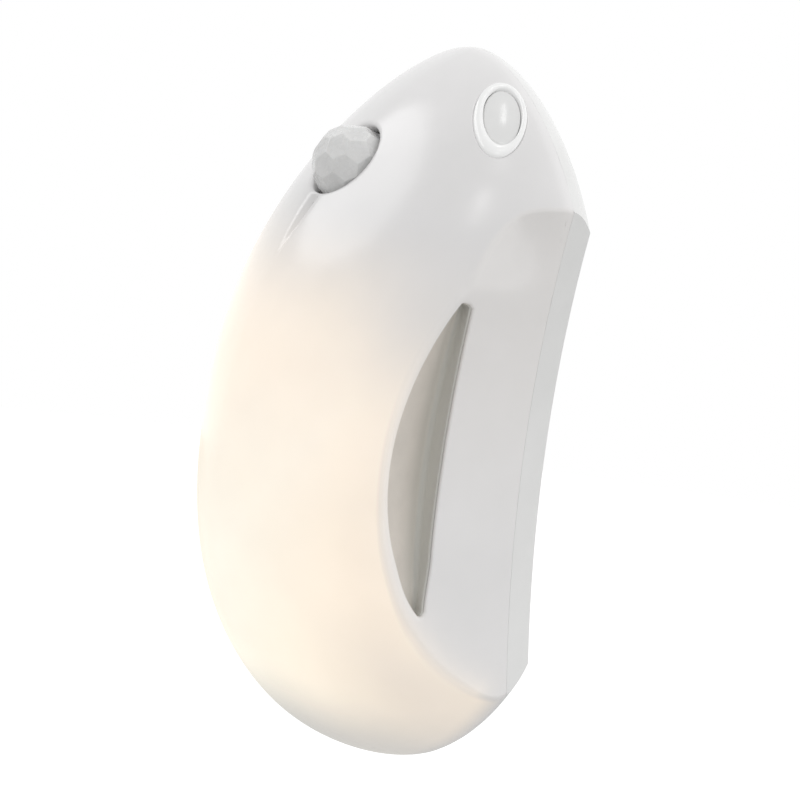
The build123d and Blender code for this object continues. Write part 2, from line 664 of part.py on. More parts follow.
def switch_board():
    """Small board behind the switch, parallel to the wall."""
    width, thickness, tall = SWITCH_BOARD
    middle = (SWITCH_SIZE[1] + thickness) / 2
    board = Pos(0, middle, SWITCH_TOP + 0.4 - tall / 2) * Box(width, thickness, tall)
    board = fillet(board.edges().filter_by(Axis.Y), 1.0)
    for x, z in SWITCH_LEGS:
        board = board - Pos(x, middle, z) * Box(SWITCH_LEG[0], 2 * thickness, SWITCH_LEG[2])
    for x, depth in SWITCH_SCREWS:
        hole = Cylinder(SWITCH_SCREW[1] + SCREW_CLEARANCE, 2 * thickness)
        board = board - Pos(x, middle, depth) * Rot(90, 0, 0) * hole
    return one(button_frame() * board)


def switch_screws():
    """Two small screws that hold the switch board."""
    made = []
    face = -BUTTON_AT[1] - SWITCH_SIZE[1] / 2
    for x, depth in SWITCH_SCREWS:
        place = button_frame().from_local_coords(Vector(x, 0, depth))
        made.append(screw(WALL_FRAME, place.X, place.Z, face, -1, SWITCH_SCREW))
    return group(made)


# --- Light box ---------------------------------------------------------------------------

def tub_outline(inset):
    """Rounded outline of the light box, seen from the front."""
    width = 2 * (TUB_HALF_WIDTH - inset)
    height = TUB_TOP - TUB_BOTTOM - 2 * inset
    return Pos(0, (TUB_TOP + TUB_BOTTOM) / 2) * RectangleRounded(width, height, TUB_CORNER - inset)


def reflector():
    """White light box: floor behind the lamp board, walls up to the inside of the cover."""
    deep = FRONT_DEPTH
    outer = WALL_FRAME * Pos(0, 0, TUB_AT) * extrude(tub_outline(0), deep)
    inner = WALL_FRAME * Pos(0, 0, TUB_AT + TUB_WALL) * extrude(tub_outline(TUB_WALL), deep)
    box = (outer & pod(COVER_WALL + 0.5)) - inner
    for x, z in TUB_POSTS:
        box = box - wall_post(x, z, -TUB_AT - 3, -TUB_AT + 1, TUB_SCREW[1] + SCREW_CLEARANCE)
    for x, z in LAMP_LEADS:
        box = box - wall_post(x, z, -TUB_AT - 3, -TUB_AT + 1, LEAD_RADIUS + 0.4)
    return one(box)


LAMP_FACE = -TUB_AT - TUB_WALL - LED_BOARD[1]


def led_board():
    """Aluminium-backed lamp board lying on the light box floor."""
    width, thickness, height = LED_BOARD
    corner = 2.5
    board = Pos(0, LAMP_FACE + thickness / 2, LED_CENTRE) * Box(width, thickness, height)
    board = fillet(board.edges().filter_by(Axis.Y), corner)
    for x, z in LAMP_LEADS:
        board = board - wall_post(x, z, LAMP_FACE - 1, -TUB_AT, LEAD_RADIUS + 0.05)
    return one(board)


def leds():
    """White surface-mount lamps in two columns down the board."""
    made = []
    for i in range(LED_ROWS):
        z = LED_CENTRE - 1 + (i - (LED_ROWS - 1) / 2) * LED_PITCH
        for x in LED_COLUMNS:
            made.append(one(Pos(x, LAMP_FACE - LED_SIZE[1] / 2, z) * Box(*LED_SIZE)))
    return group(made)


# --- Main board ----------------------------------------------------------------------------

def main_board():
    """Mains board: carries the supply and takes the tails of the plug's contacts."""
    width, thickness, height = MAIN_BOARD
    corner = 2.0
    board = Pos(0, BOARD_FACE + thickness / 2, MAIN_BOARD_CENTRE) * Box(width, thickness, height)
    board = fillet(board.edges().filter_by(Axis.Y), corner)
    for x, z in BOARD_SCREWS:
        board = board - wall_post(x, z, BOARD_FACE - 1, -MAIN_BOARD_AT + 1, BOARD_SCREW[1] + SCREW_CLEARANCE)
    for side in (-1, 1):
        slot = Box(CONTACT_STRIP[0] + 0.1, 4 * thickness, CONTACT_STRIP[1] + 0.1)
        board = board - Pos(side * CONTACT_AT, -MAIN_BOARD_AT, PIVOT_HEIGHT) * slot
    return one(board)


def film_capacitor():
    """Boxed dropper capacitor standing on the main board."""
    width, depth, height = 15.0, 7.5, 7.0
    block = Pos(-3.5, BOARD_FACE - depth / 2, -7.0) * Box(width, depth, height)
    return one(fillet(block.edges(), 0.5))


def smoothing_capacitor():
    """Electrolytic can lying on the board, with its crimped groove."""
    radius, length = 3.15, 11.5
    groove_depth, groove_width, groove_back = 0.3, 0.8, 2.0
    can = fillet(Cylinder(radius, length).edges(), 0.5)
    groove = Cylinder(radius + 1, groove_width) - Cylinder(radius - groove_depth, groove_width)
    can = can - Pos(0, 0, length / 2 - groove_back) * groove
    return one(Pos(3.5, BOARD_FACE - radius, -18.5) * Rot(0, 90, 0) * can)


def bridge_rectifier():
    """Four-lead rectifier flat on the board."""
    width, thickness, height, stand_off = 4.0, 2.5, 4.7, 0.1
    x, z = -8.2, 15.0
    body = Pos(x, BOARD_FACE - stand_off - thickness / 2, z) * Box(width, thickness, height)
    lead = Box(0.6, 0.6, 1.5)
    for dx in (-1.27, 1.27):
        for dz in (-height / 2 - 0.55, height / 2 + 0.55):
            body = body + Pos(x + dx, BOARD_FACE - 0.3, z + dz) * lead
    return one(body)


def fuse_resistor():
    """Axial fusible resistor with its two bent leads."""
    radius, length, lead_radius, lift = 1.6, 9.0, 0.35, 2.1
    span = length / 2 + 1.7
    body = Rot(0, 90, 0) * fillet(Cylinder(radius, length).edges(), 0.6)
    body = body + Rot(0, 90, 0) * Cylinder(lead_radius, 2 * span)
    for side in (-1, 1):
        foot = Rot(90, 0, 0) * Cylinder(lead_radius, lift + lead_radius)
        body = body + Pos(side * span, (lift - lead_radius) / 2, 0) * foot
    return one(Pos(-3.0, BOARD_FACE - lift, -25.2) * body)


def voltage_regulator():
    """Three-lead regulator standing near the top of the board."""
    width, depth, height, lead_length = 4.6, 4.6, 3.6, 1.0
    x, z = 4.5, 20.5
    regulator = Pos(x, BOARD_FACE - lead_length - depth / 2, z) * Box(width, depth, height)
    for dx in (-1.27, 0, 1.27):
        regulator = regulator + Pos(x + dx, BOARD_FACE - lead_length / 2, z) * Box(0.45, lead_length, 0.4)
    return one(regulator)


# --- Leads ---------------------------------------------------------------------------------

def bent_lead(points, bend):
    """Insulated lead along straight runs joined by arcs."""
    path = FilletPolyline(*points, radius=bend)
    return one(sweep(Plane(origin=path @ 0, z_dir=path % 0) * Circle(LEAD_RADIUS), path))


def lamp_leads():
    """Two stiff leads from the main board through the light box to the lamp board."""
    return group(one(wall_post(x, z, LAMP_FACE, BOARD_FACE, LEAD_RADIUS)) for x, z in LAMP_LEADS)


def sensor_leads():
    """Three leads from the back of the sensor board to the front of the main board."""
    back = BOARD_TOP - SENSOR_BOARD[2]
    run = 4.2
    made = []
    for x in (-4.0, -2.6, -1.2):
        start = lens_frame().from_local_coords(Vector(x, -6.0, back))
        corner = lens_frame().from_local_coords(Vector(x, -6.0, back - run))
        made.append(bent_lead([start, corner, Vector(x, BOARD_FACE, corner.Z)], 4.0))
    return group(made)


def switch_leads():
    """Two leads from the switch board over the top edge of the main board."""
    start_y = BUTTON_AT[1] + SWITCH_SIZE[1] / 2
    hook_y = BOARD_FACE - 2.6
    made = []
    for across in (-0.9, 0.9):
        start = button_frame().from_local_coords(Vector(across, 0, SWITCH_TOP - 8.2))
        x, z = start.X, start.Z
        route = [
            Vector(x, start_y, z),
            Vector(x, hook_y, z),
            Vector(x, hook_y, 24.6),
            Vector(x, BOARD_FACE, 24.6),
        ]
        made.append(bent_lead(route, 1.2))
    return group(made)


NODES = {
    "front_cover": front_cover,
    "rear_housing": rear_housing,
    "grip_left": lambda: grip(-1),
    "grip_right": lambda: grip(1),
    "pir_lens": pir_lens,
    "lens_holder": lens_holder,
    "pir_sensor": pir_sensor,
    "pir_window": pir_window,
    "light_sensor": light_sensor,
    "sensor_board": sensor_board,
    "sensor_chip": sensor_chip,
    "sensor_screws": sensor_screws,
    "button_bezel": button_bezel,
    "mode_button": mode_button,
    "mode_switch": mode_switch,
    "switch_plunger": switch_plunger,
    "switch_board": switch_board,
    "switch_screws": switch_screws,
    "reflector": reflector,
    "led_board": led_board,
    "leds": leds,
    "tub_screws": tub_screws,
    "main_board": main_board,
    "board_screws": board_screws,
    "film_capacitor": film_capacitor,
    "smoothing_capacitor": smoothing_capacitor,
    "bridge_rectifier": bridge_rectifier,
    "fuse_resistor": fuse_resistor,
    "voltage_regulator": voltage_regulator,
    "blade_left": lambda: blade(-1),
    "blade_right": lambda: blade(1),
    "plug_hub": plug_hub,
    "plug_contacts": plug_contacts,
    "housing_screws": housing_screws,
    "lamp_leads": lamp_leads,
    "sensor_leads": sensor_leads,
    "switch_leads": switch_leads,
}

os.makedirs("parts", exist_ok=True)
for name, make in NODES.items():
    export_step(make(), f"parts/{name}.step")
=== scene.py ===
import bmesh
import bpy
import numpy as np
from mathutils import Matrix, Vector
from mathutils.geometry import delaunay_2d_cdt


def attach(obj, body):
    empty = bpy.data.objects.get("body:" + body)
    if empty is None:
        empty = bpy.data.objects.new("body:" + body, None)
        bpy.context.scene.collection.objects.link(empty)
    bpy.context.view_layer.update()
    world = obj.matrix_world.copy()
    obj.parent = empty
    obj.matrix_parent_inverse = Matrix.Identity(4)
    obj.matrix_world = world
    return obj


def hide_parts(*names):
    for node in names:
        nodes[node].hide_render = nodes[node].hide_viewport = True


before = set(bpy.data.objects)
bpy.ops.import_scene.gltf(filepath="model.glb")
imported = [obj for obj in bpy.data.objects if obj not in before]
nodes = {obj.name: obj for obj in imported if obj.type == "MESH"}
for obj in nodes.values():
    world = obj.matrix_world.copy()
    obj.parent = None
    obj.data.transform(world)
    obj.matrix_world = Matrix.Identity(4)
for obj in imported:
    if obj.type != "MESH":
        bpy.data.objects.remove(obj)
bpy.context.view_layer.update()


# ---- Front cover ------------------------------------------------------------------------
# One injection moulding in milky, glossy polycarbonate: an egg-shaped shell with two waisted
# cheeks, open for the motion lens, the mode button and the two finger scoops. The lamps
# behind it light its lower three quarters warm, and the light fades out below the lens.

MM = 0.001
half_height, half_width = 53.5, 45.0
front_depth, widest_depth, taper_depth = 33.0, 4.6, 14.0
belly_drop = 0.27
width_power, height_power, front_power, rear_power = 1.67, 2.25, 1.4, 1.95
cheek_span, cheek_sag, cheek_half_height = 33.6, 4.4, 34.0
cheek_radius = (cheek_half_height ** 2 + cheek_sag ** 2) / (2 * cheek_sag)
cheek_tuck, tuck_depths, tuck_heights = 2.45, (3.5, 10.5), (22.0, 33.5)
parting_depth = 3.4


def unit(v):
    return v / np.maximum(np.linalg.norm(v, axis=-1, keepdims=True), 1e-12)


def as_points(*parts):
    """Points whose coordinates are the given numbers or arrays."""
    return np.stack(np.broadcast_arrays(*parts), axis=-1)


def ramp(value, start, end):
    t = np.clip((value - start) / (end - start), 0, 1)
    return t * t * (3 - 2 * t)


def pod_skin(x, turn, back):
    """Points of the pod's skin: turn goes from -pi/2 at the bottom to pi/2 at the top, and back
    goes from 0 at the widest line to the wall."""
    share = 1 - (np.abs(x) / half_width) ** width_power
    out = front_depth * share ** (1 / front_power) * np.maximum(np.cos(turn), 0) ** (2 / front_power)
    rest = share - (back / taper_depth) ** rear_power
    rise = half_height * rest ** (1 / height_power) * np.abs(np.sin(turn)) ** (2 / height_power)
    y = back - widest_depth - out
    z = np.sign(turn) * rise + belly_drop * (back - out)
    return as_points(x, y, z)


def pod_value(p):
    """Below zero inside the pod, above zero outside."""
    out = -widest_depth - p[..., 1]
    front = (np.maximum(out, 0) / front_depth) ** front_power
    rear = (np.maximum(-out, 0) / taper_depth) ** rear_power
    height = np.abs(p[..., 2] + belly_drop * out) / half_height
    return (np.abs(p[..., 0]) / half_width) ** width_power + height ** height_power - 1 + front + rear


def pod_normal(p):
    step = 0.01
    grad = [pod_value(p + step * axis) - pod_value(p - step * axis) for axis in np.eye(3)]
    return unit(as_points(*grad))


def last_inside(is_inside, low, high, shape):
    """Halves the spans from low to high until each ends at its last value inside."""
    low, high = np.full(shape, float(low)), np.full(shape, float(high))
    for _ in range(46):
        middle = (low + high) / 2
        inside = is_inside(middle)
        low = np.where(inside, middle, low)
        high = np.where(inside, high, middle)
    return low


def drop_on_pod(origin, direction, low, high):
    """Slides points along a direction, outwards from low to high, until they lie on the skin."""
    way = last_inside(lambda t: pod_value(origin + t[..., None] * direction) < 0,
                      low, high, origin.shape[:-1])
    return origin + way[..., None] * direction


def cheek_x(z, y=0.0):
    """X of the waisted cheek, which is tucked in at its top front corner."""
    centre = cheek_span - cheek_sag + cheek_radius
    tuck = cheek_tuck * ramp(-np.asarray(y), *tuck_depths) * ramp(z, *tuck_heights)
    return centre - np.sqrt(cheek_radius ** 2 - z ** 2) - tuck


def put_in_scene(name, data):
    made = bpy.data.objects.new(name, data)
    bpy.context.scene.collection.objects.link(made)
    return made


class Weave:
    """Collects points in millimetres and the faces woven between rows of them."""

    def __init__(self):
        self.points = []
        self.faces = []

    def add(self, points):
        points = np.asarray(points, float)
        start = len(self.points)
        self.points.extend(points.reshape(-1, 3).tolist())
        return np.arange(start, len(self.points)).reshape(points.shape[:-1])

    def face(self, ring):
        self.faces.append(tuple(int(i) for i in ring))

    def grow(self, row, points):
        """Adds a closed row of points and weaves it to the row before."""
        grown = self.add(points)
        for i in range(len(row)):
            self.face((row[i - 1], row[i], grown[i], grown[i - 1]))
        return grown

    def loft(self, sections, capped=True):
        """Weaves closed rows of points into one tube."""
        first = row = self.add(sections[0])
        for section in sections[1:]:
            row = self.grow(row, section)
        if capped:
            self.face(first)
            self.face(row)

    def to_object(self, name, crease_angle=0.9):
        mesh = bpy.data.meshes.new(name)
        mesh.from_pydata([[MM * c for c in p] for p in self.points], [], self.faces)
        work = bmesh.new()
        work.from_mesh(mesh)
        bmesh.ops.remove_doubles(work, verts=work.verts, dist=1e-7)
        loose = [v for v in work.verts if not v.link_faces]
        bmesh.ops.delete(work, geom=loose, context="VERTS")
        bmesh.ops.recalc_face_normals(work, faces=work.faces)
        work.to_mesh(mesh)
        work.free()
        mesh.validate()
        mesh.shade_smooth()
        mesh.set_sharp_from_angle(angle=crease_angle)
        return put_in_scene(name, mesh)


def fill_ring(outer, inner, count, rounds=400):
    """Rings between two matched flat loops, evened out so that no quad is stretched or folded."""
    share = np.linspace(0, 1, count)[:, None, None]
    rings = outer[None] * (1 - share) + inner[None] * share
    for _ in range(rounds):
        around = np.roll(rings, 1, axis=1) + np.roll(rings, -1, axis=1)
        rings[1:-1] = (around[1:-1] + rings[2:] + rings[:-2]) / 4
    return rings


def frame_axes(origin, axis, across):
    """A local frame: origin, X, Y and Z, with Z along axis."""
    z = unit(np.array(axis, float))
    x = unit(np.array(across, float) - z * np.dot(across, z))
    return np.array(origin, float), x, np.cross(z, x), z


def to_local(p, local):
    return (p - local[0]) @ np.array(local[1:]).T


def to_world(q, local):
    return local[0] + q @ np.array(local[1:])


def lift(flat, height, local):
    """Puts flat points at a height, or a height for each, above a local frame's XY."""
    return to_world(as_points(flat[..., 0], flat[..., 1], height), local)


def drop_local(flat, local):
    """Drops points given in a local frame's XY onto the skin along its Z."""
    return drop_on_pod(lift(flat, 0, local), local[3], -12, 12)


lens_tilt = np.radians(36.0)
lens_axes = frame_axes((0, -23.0, 36.2), (0, -np.cos(lens_tilt), np.sin(lens_tilt)), (1, 0, 0))
button_lean = np.radians(30.0)
button_axes = frame_axes((18.5, -8.0, 45.9), (np.sin(button_lean), 0, np.cos(button_lean)),
                         (np.cos(button_lean), 0, -np.sin(button_lean)))
button_turn = np.radians(-13.0)
bezel_shift = np.array([0.15, -0.3])
scoop_top, scoop_bottom, scoop_rear = 20.8, -23.6, -16.2
scoop_bulge, scoop_skew, scoop_tip = 6.9, 0.17, 0.8
scoop_middle, scoop_half = (scoop_top + scoop_bottom) / 2, (scoop_top - scoop_bottom) / 2
scoop_shoulder, scoop_foot = scoop_top - scoop_tip, scoop_bottom + scoop_tip
scoop_back = scoop_rear - scoop_tip
scoop_lean, lean_from = 0.95, -14.0
foot_reach, foot_heights = 0.55, (15.5, 22.5)


def oval_loop(radii, angles, shift=(0.0, 0.0)):
    """Points of the turned oval that lie at the given angles around its own centre."""
    turned = angles - button_turn
    reach = 1 / np.sqrt((np.cos(turned) / radii[0]) ** 2 + (np.sin(turned) / radii[1]) ** 2)
    return as_points(reach * np.cos(angles) + shift[0], reach * np.sin(angles) + shift[1])


def scoop_front(share):
    """The curved front edge on YZ: share goes from -1 at the bottom to 1 at the top."""
    bow = scoop_bulge * (1 - share ** 2) ** 0.9 * (1 - scoop_skew * share)
    return as_points(scoop_back - bow, scoop_middle + scoop_half * share)


def run_along(path):
    """How far along a path each of its points lies."""
    return np.concatenate([[0], np.cumsum(np.linalg.norm(np.diff(path, axis=0), axis=1))])


def even_points(path, count):
    """The path's points spaced evenly along its length."""
    run = run_along(path)
    at = np.linspace(0, run[-1], count)
    return as_points(*[np.interp(at, run, path[:, i]) for i in range(path.shape[1])])


def rear_lean(z):
    """How far the scoop's rear edge leans back at height z."""
    return scoop_lean * np.clip((z - lean_from) / (scoop_top - lean_from), 0, 1) ** 1.1


def foot_shift(z):
    """How far the scoop's lower tip curves forward at height z."""
    return foot_reach * ramp(-z, *foot_heights)


def scoop_loop(front_count, rear_count):
    """The crescent on YZ: up the curved front edge, then down the leaning rear edge."""
    quarter = np.linspace(0, np.pi / 2, 9)
    across, rise = np.sin(quarter), np.cos(quarter)
    top_width = scoop_tip + rear_lean(scoop_shoulder)
    top = as_points(scoop_back + top_width * across, scoop_shoulder + scoop_tip * rise)
    bottom = as_points(scoop_back + scoop_tip * rise, scoop_foot - scoop_tip * across)
    bow = scoop_front(np.sin(np.linspace(-np.pi / 2, np.pi / 2, 160)))
    fall = np.linspace(scoop_shoulder, scoop_foot, 40)[1:-1]
    front = np.concatenate([bottom[5:], bow, top[:5]])
    rear = np.concatenate([top[4:], as_points(scoop_rear + rear_lean(fall), fall), bottom[:6]])
    loop = np.concatenate([even_points(front, front_count), even_points(rear, rear_count + 2)[1:-1]])
    loop[:, 0] -= foot_shift(loop[:, 1])
    return loop


def loop_run(loop):
    """Which way a closed loop runs at each of its points."""
    return np.roll(loop, -1, axis=0) - np.roll(loop, 1, axis=0)


def outward(path, run):
    """Unit steps square to the way a flat path runs, away from its middle."""
    side = unit(as_points(run[:, 1], -run[:, 0]))
    return side * np.sign(np.mean(np.sum(side * (path - path.mean(axis=0)), axis=1)))


def gap_to(points, loop):
    """Shortest way from each flat point to a loop's points."""
    return np.linalg.norm(points[:, None] - loop[None], axis=2).min(axis=1)


def inside_loop(points, loop):
    """Which flat points lie inside a closed flat loop."""
    a, b = loop, np.roll(loop, -1, axis=0)
    level = points[:, 1:2]
    rise = np.where(a[:, 1] == b[:, 1], 1.0, b[:, 1] - a[:, 1])
    crossed = (a[:, 1] > level) != (b[:, 1] > level)
    crossing = a[:, 0] + (level - a[:, 1]) / rise * (b[:, 0] - a[:, 0])
    return (crossed & (points[:, 0:1] < crossing)).sum(axis=1) % 2 == 1


cover_edge, cover_wall = 0.06, 1.6
back_scale, row_count = 20.0, 184
cover = Weave()

# Rows run from the bottom parting line over the front to the top one. A row's travel is its
# turn, which goes on past a quarter turn over the narrow band behind the widest line.
fine = np.linspace(-np.pi / 2, np.pi / 2, 4001)
ridge_run = run_along(pod_skin(0.0, fine, 0.0))
turns = np.interp(np.linspace(0, ridge_run[-1], row_count), ridge_run, fine)
past = (widest_depth - parting_depth - cover_edge) / back_scale
band = np.array([past / 2, past])
travels = np.concatenate([turns[0] - band[::-1], turns, turns[-1] + band])
rows = len(travels)


def skin_at(x, travel):
    turn = np.clip(travel, -np.pi / 2, np.pi / 2)
    return pod_skin(x, turn, back_scale * np.abs(travel - turn))


def within_cheek(x):
    """Which rows' skin points at x exist and lie between the cheeks."""
    with np.errstate(invalid="ignore"):
        p = skin_at(x, travels)
    return ~np.isnan(p[:, 2]) & (x <= cheek_x(p[:, 2], p[:, 1]))


edge_x = last_inside(within_cheek, 20, 38, rows)
edge_point = skin_at(edge_x, travels)
edge_flat = edge_point[:, 1:]
scoop_front_count, scoop_rear_count = 150, 64
scoop = scoop_loop(scoop_front_count, scoop_rear_count)

# The edge is crisp round the cheek's top and soft along its front, within the strip of
# cheek that the scoop leaves.
edge_least, edge_gain, strip_share = 0.4, 0.8, 0.42
crisp_heights, soft_depths = (20, 28), (6, 12)
softness = (1 - ramp(edge_point[:, 2], *crisp_heights)) * ramp(-edge_point[:, 1], *soft_depths)
soft = edge_least + edge_gain * softness
soft = np.minimum(soft, strip_share * gap_to(edge_flat, scoop))

# Columns stand close together over the crease and wider apart towards the cheeks.
crease_half, lens_half, skin_half = 2.4, 11, 33
half_columns = np.concatenate([
    np.linspace(0, crease_half, 13), np.linspace(crease_half, lens_half, 18)[1:],
    np.linspace(lens_half, skin_half, 27)[1:]]) / skin_half
columns = np.concatenate([-half_columns[:0:-1], half_columns])
skin = skin_at(columns[None, :] * (edge_x - soft)[:, None], travels[:, None])

# The cheek's own loop on YZ lies a soft distance in from its edge.
cheek_flat = edge_flat - soft[:, None] * outward(edge_flat, np.gradient(edge_flat, axis=0))
ends = [0, -1]
cheek_flat[ends] = edge_flat[ends] + as_points(0, soft[ends] * [1, -1])


def on_cheek(flat, side, depth=0.0):
    x = cheek_x(flat[..., 1], flat[..., 0]) - depth
    return np.concatenate([side * x[..., None], flat], axis=-1)


def bend(start, corner, end, t):
    """Where t, from 0 to 1, leads on a curve that cuts a corner short."""
    return (1 - t) ** 2 * start + 2 * t * (1 - t) * corner + t * t * end


cheek_side = on_cheek(cheek_flat, 1)
round_edge = [bend(skin[:, -1], edge_point, cheek_side, t) for t in np.linspace(0, 1, 7)[1:]]
round_edge = np.stack(round_edge, axis=1)
mirror = np.array([-1, 1, 1])
whole = np.concatenate([round_edge[:, ::-1] * mirror, skin, round_edge], axis=1)

# A crease runs down the middle below the lens, narrows and fades out.
crease_widths, crease_depth = (0.45, 1.0), 0.95
crease_rise, crease_end, crease_taper = (20.5, 29.0), (33, 35), (22.0, 31.0)


def press_crease(p):
    z = p[..., 2]
    fade = ramp(z, *crease_rise) * (1 - ramp(z, *crease_end)) * (p[..., 1] < -15)
    width = crease_widths[0] + (crease_widths[1] - crease_widths[0]) * ramp(z, *crease_taper)
    depth = crease_depth * fade * np.exp(-(p[..., 0] / width) ** 2)
    return p - depth[..., None] * pod_normal(p)


window_depth = 9


def window(local, x_span, y_span):
    """Rows and columns of the skin that lie inside a rectangle of a local frame."""
    q = to_local(whole, local)
    inside = (q[..., 0] > x_span[0]) & (q[..., 0] < x_span[1]) & (np.abs(q[..., 2]) < window_depth)
    inside &= (q[..., 1] > y_span[0]) & (q[..., 1] < y_span[1])
    hit_rows = np.nonzero(inside.any(axis=1))[0]
    hit_columns = np.nonzero(inside.any(axis=0))[0]
    return hit_rows[0], hit_rows[-1], hit_columns[0], hit_columns[-1]


lens_window = window(lens_axes, (-9.1, 9.1), (-10.0, 9.8))
bezel_window = window(button_axes, (-8.9, 9.6), (-5.4, 5.6))
ids = cover.add(press_crease(whole))
for row in range(rows - 1):
    for column in range(whole.shape[1] - 1):
        cut = [r0 <= row < r1 and c0 <= column < c1 for r0, r1, c0, c1 in (lens_window, bezel_window)]
        if not any(cut):
            cover.face((*ids[row, column:column + 2], *ids[row + 1, column:column + 2][::-1]))

row_step = ridge_run[-1] / (row_count - 1)


def travel_at(p):
    """The travel of points on the skin's upper half."""
    out = np.maximum(-widest_depth - p[..., 1], 0)
    share = 1 - (np.abs(p[..., 0]) / half_width) ** width_power
    cosine = (out / (front_depth * share ** (1 / front_power))) ** (front_power / 2)
    behind = np.maximum(p[..., 1] + widest_depth, 0)
    return np.arccos(np.clip(cosine, 0, 1)) + behind / back_scale


def weave_hole(box, local, hole, centre, rings):
    """Fills a window round a hole, evenly in the rows' own measure. Returns the angles of the
    hole's points, their numbers and where they are."""
    r0, r1, c0, c1 = box
    path = [(r0, c) for c in range(c0, c1)] + [(r, c1) for r in range(r0, r1)]
    path += [(r1, c) for c in range(c1, c0, -1)] + [(r, c0) for r in range(r1, r0, -1)]
    at = np.array(path)
    previous, outer = ids[at[:, 0], at[:, 1]], whole[at[:, 0], at[:, 1]]
    flat = to_local(outer, local)[:, :2]
    angles = np.arctan2(flat[:, 1] - centre[1], flat[:, 0] - centre[0])
    mouth = drop_local(hole(angles), local)
    mouth_row = np.interp(travel_at(mouth), travels, np.arange(rows))
    field = fill_ring(as_points(outer[:, 0], at[:, 0] * row_step),
                      as_points(mouth[:, 0], mouth_row * row_step), rings)
    ring = mouth
    for measured in field[1:]:
        travel = np.interp(measured[:, 1] / row_step, np.arange(rows), travels)
        ring = press_crease(skin_at(measured[:, 0], travel))
        previous = cover.grow(previous, ring)
    return angles, previous, ring


def weave_lip(previous, points, corner, foot, bends):
    """A rounded lip: from points over a corner to foot, all matched loops."""
    for t in np.linspace(0, 1, bends + 1)[1:]:
        previous = cover.grow(previous, bend(points, corner, foot, t))
    return previous


# The lens mouth: a rounded lip that falls into the bore.
mouth_radius, bore_radius, mouth_fall, lens_seat = 7.25, 6.3, 0.8, 3.2
angles, previous, lip = weave_hole(
    lens_window, lens_axes,
    lambda a: mouth_radius * as_points(np.cos(a), np.sin(a)), (0, 0), 10)
bore = bore_radius * as_points(np.cos(angles), np.sin(angles))
corner = drop_local(bore, lens_axes)
previous = weave_lip(previous, lip, corner, corner - mouth_fall * lens_axes[3], 8)
cover.grow(previous, lift(bore, -lens_seat, lens_axes))

# The bezel's opening: a tight lip and a short wall.
bezel_radii, bezel_lip, bezel_wall = (7.3, 3.2), 0.25, 2.0
angles, previous, lip = weave_hole(
    bezel_window, button_axes,
    lambda a: oval_loop((bezel_radii[0] + bezel_lip, bezel_radii[1] + bezel_lip), a, bezel_shift),
    bezel_shift, 9)
corner = drop_local(oval_loop(bezel_radii, angles, bezel_shift), button_axes)
previous = weave_lip(previous, lip, corner, corner - bezel_lip * button_axes[3], 4)
cover.grow(previous, corner - bezel_wall * button_axes[3])

# The two cheeks are triangulated between their edge and the scoop, whose rim rolls inwards.
cheek_grid, rear_points, scoop_wall = 1.5, 64, 2.6
rim_least, rim_most, rim_rear = 0.2, 0.8, 0.35
rim_reach = np.clip(strip_share * gap_to(scoop, even_points(edge_flat, 1200)), rim_least, rim_most)
rim_reach[scoop_front_count:] = rim_rear
for _ in range(8):
    rim_reach = (np.roll(rim_reach, 1) + 2 * rim_reach + np.roll(rim_reach, -1)) / 4
scoop_edge = scoop + rim_reach[:, None] * outward(scoop, loop_run(scoop))
rear_heights = np.linspace(cheek_flat[-1, 1], cheek_flat[0, 1], rear_points + 2)[1:-1]
rear_line = as_points(edge_flat[0, 0], rear_heights)
outer_loop = np.concatenate([cheek_flat, rear_line])
grid_low, grid_high = outer_loop.min(axis=0), outer_loop.max(axis=0)
lattice = []
for number, level in enumerate(np.arange(grid_low[1], grid_high[1], cheek_grid * 0.866)):
    offset = cheek_grid / 2 * (number % 2)
    lattice += [(y, level) for y in np.arange(grid_low[0] + offset, grid_high[0], cheek_grid)]
lattice = np.array(lattice)
clear = 0.55 * cheek_grid
lattice = lattice[inside_loop(lattice, outer_loop) & ~inside_loop(lattice, scoop_edge)]
lattice = lattice[(gap_to(lattice, outer_loop) > clear) & (gap_to(lattice, scoop_edge) > clear)]
outer_count, rim_count = len(outer_loop), len(scoop_edge)
flat_points = np.concatenate([outer_loop, scoop_edge, lattice])
borders = [(i, (i + 1) % outer_count) for i in range(outer_count)]
borders += [(outer_count + i, outer_count + (i + 1) % rim_count) for i in range(rim_count)]
split = delaunay_2d_cdt([Vector(p) for p in flat_points], borders, [], 1, 1e-7)
source = [origin[0] for origin in split[3]]
triangles = np.array([[source[i] for i in face] for face in split[2]])
middles = flat_points[triangles].mean(axis=1)
triangles = triangles[inside_loop(middles, outer_loop) & ~inside_loop(middles, scoop_edge)]

parting_lines = {}
for side in (-1, 1):
    column = ids[:, -1] if side > 0 else ids[:, 0]
    parting_lines[side] = cover.add(on_cheek(rear_line, side))
    rim_ids = cover.add(on_cheek(scoop_edge, side))
    lattice_ids = cover.add(on_cheek(lattice, side))
    numbers = np.concatenate([column, parting_lines[side], rim_ids, lattice_ids])
    for triangle in triangles:
        cover.face(numbers[triangle])
    previous = weave_lip(rim_ids, on_cheek(scoop_edge, side), on_cheek(scoop, side),
                         on_cheek(scoop, side, rim_reach), 6)
    cover.grow(previous, on_cheek(scoop, side, scoop_wall))

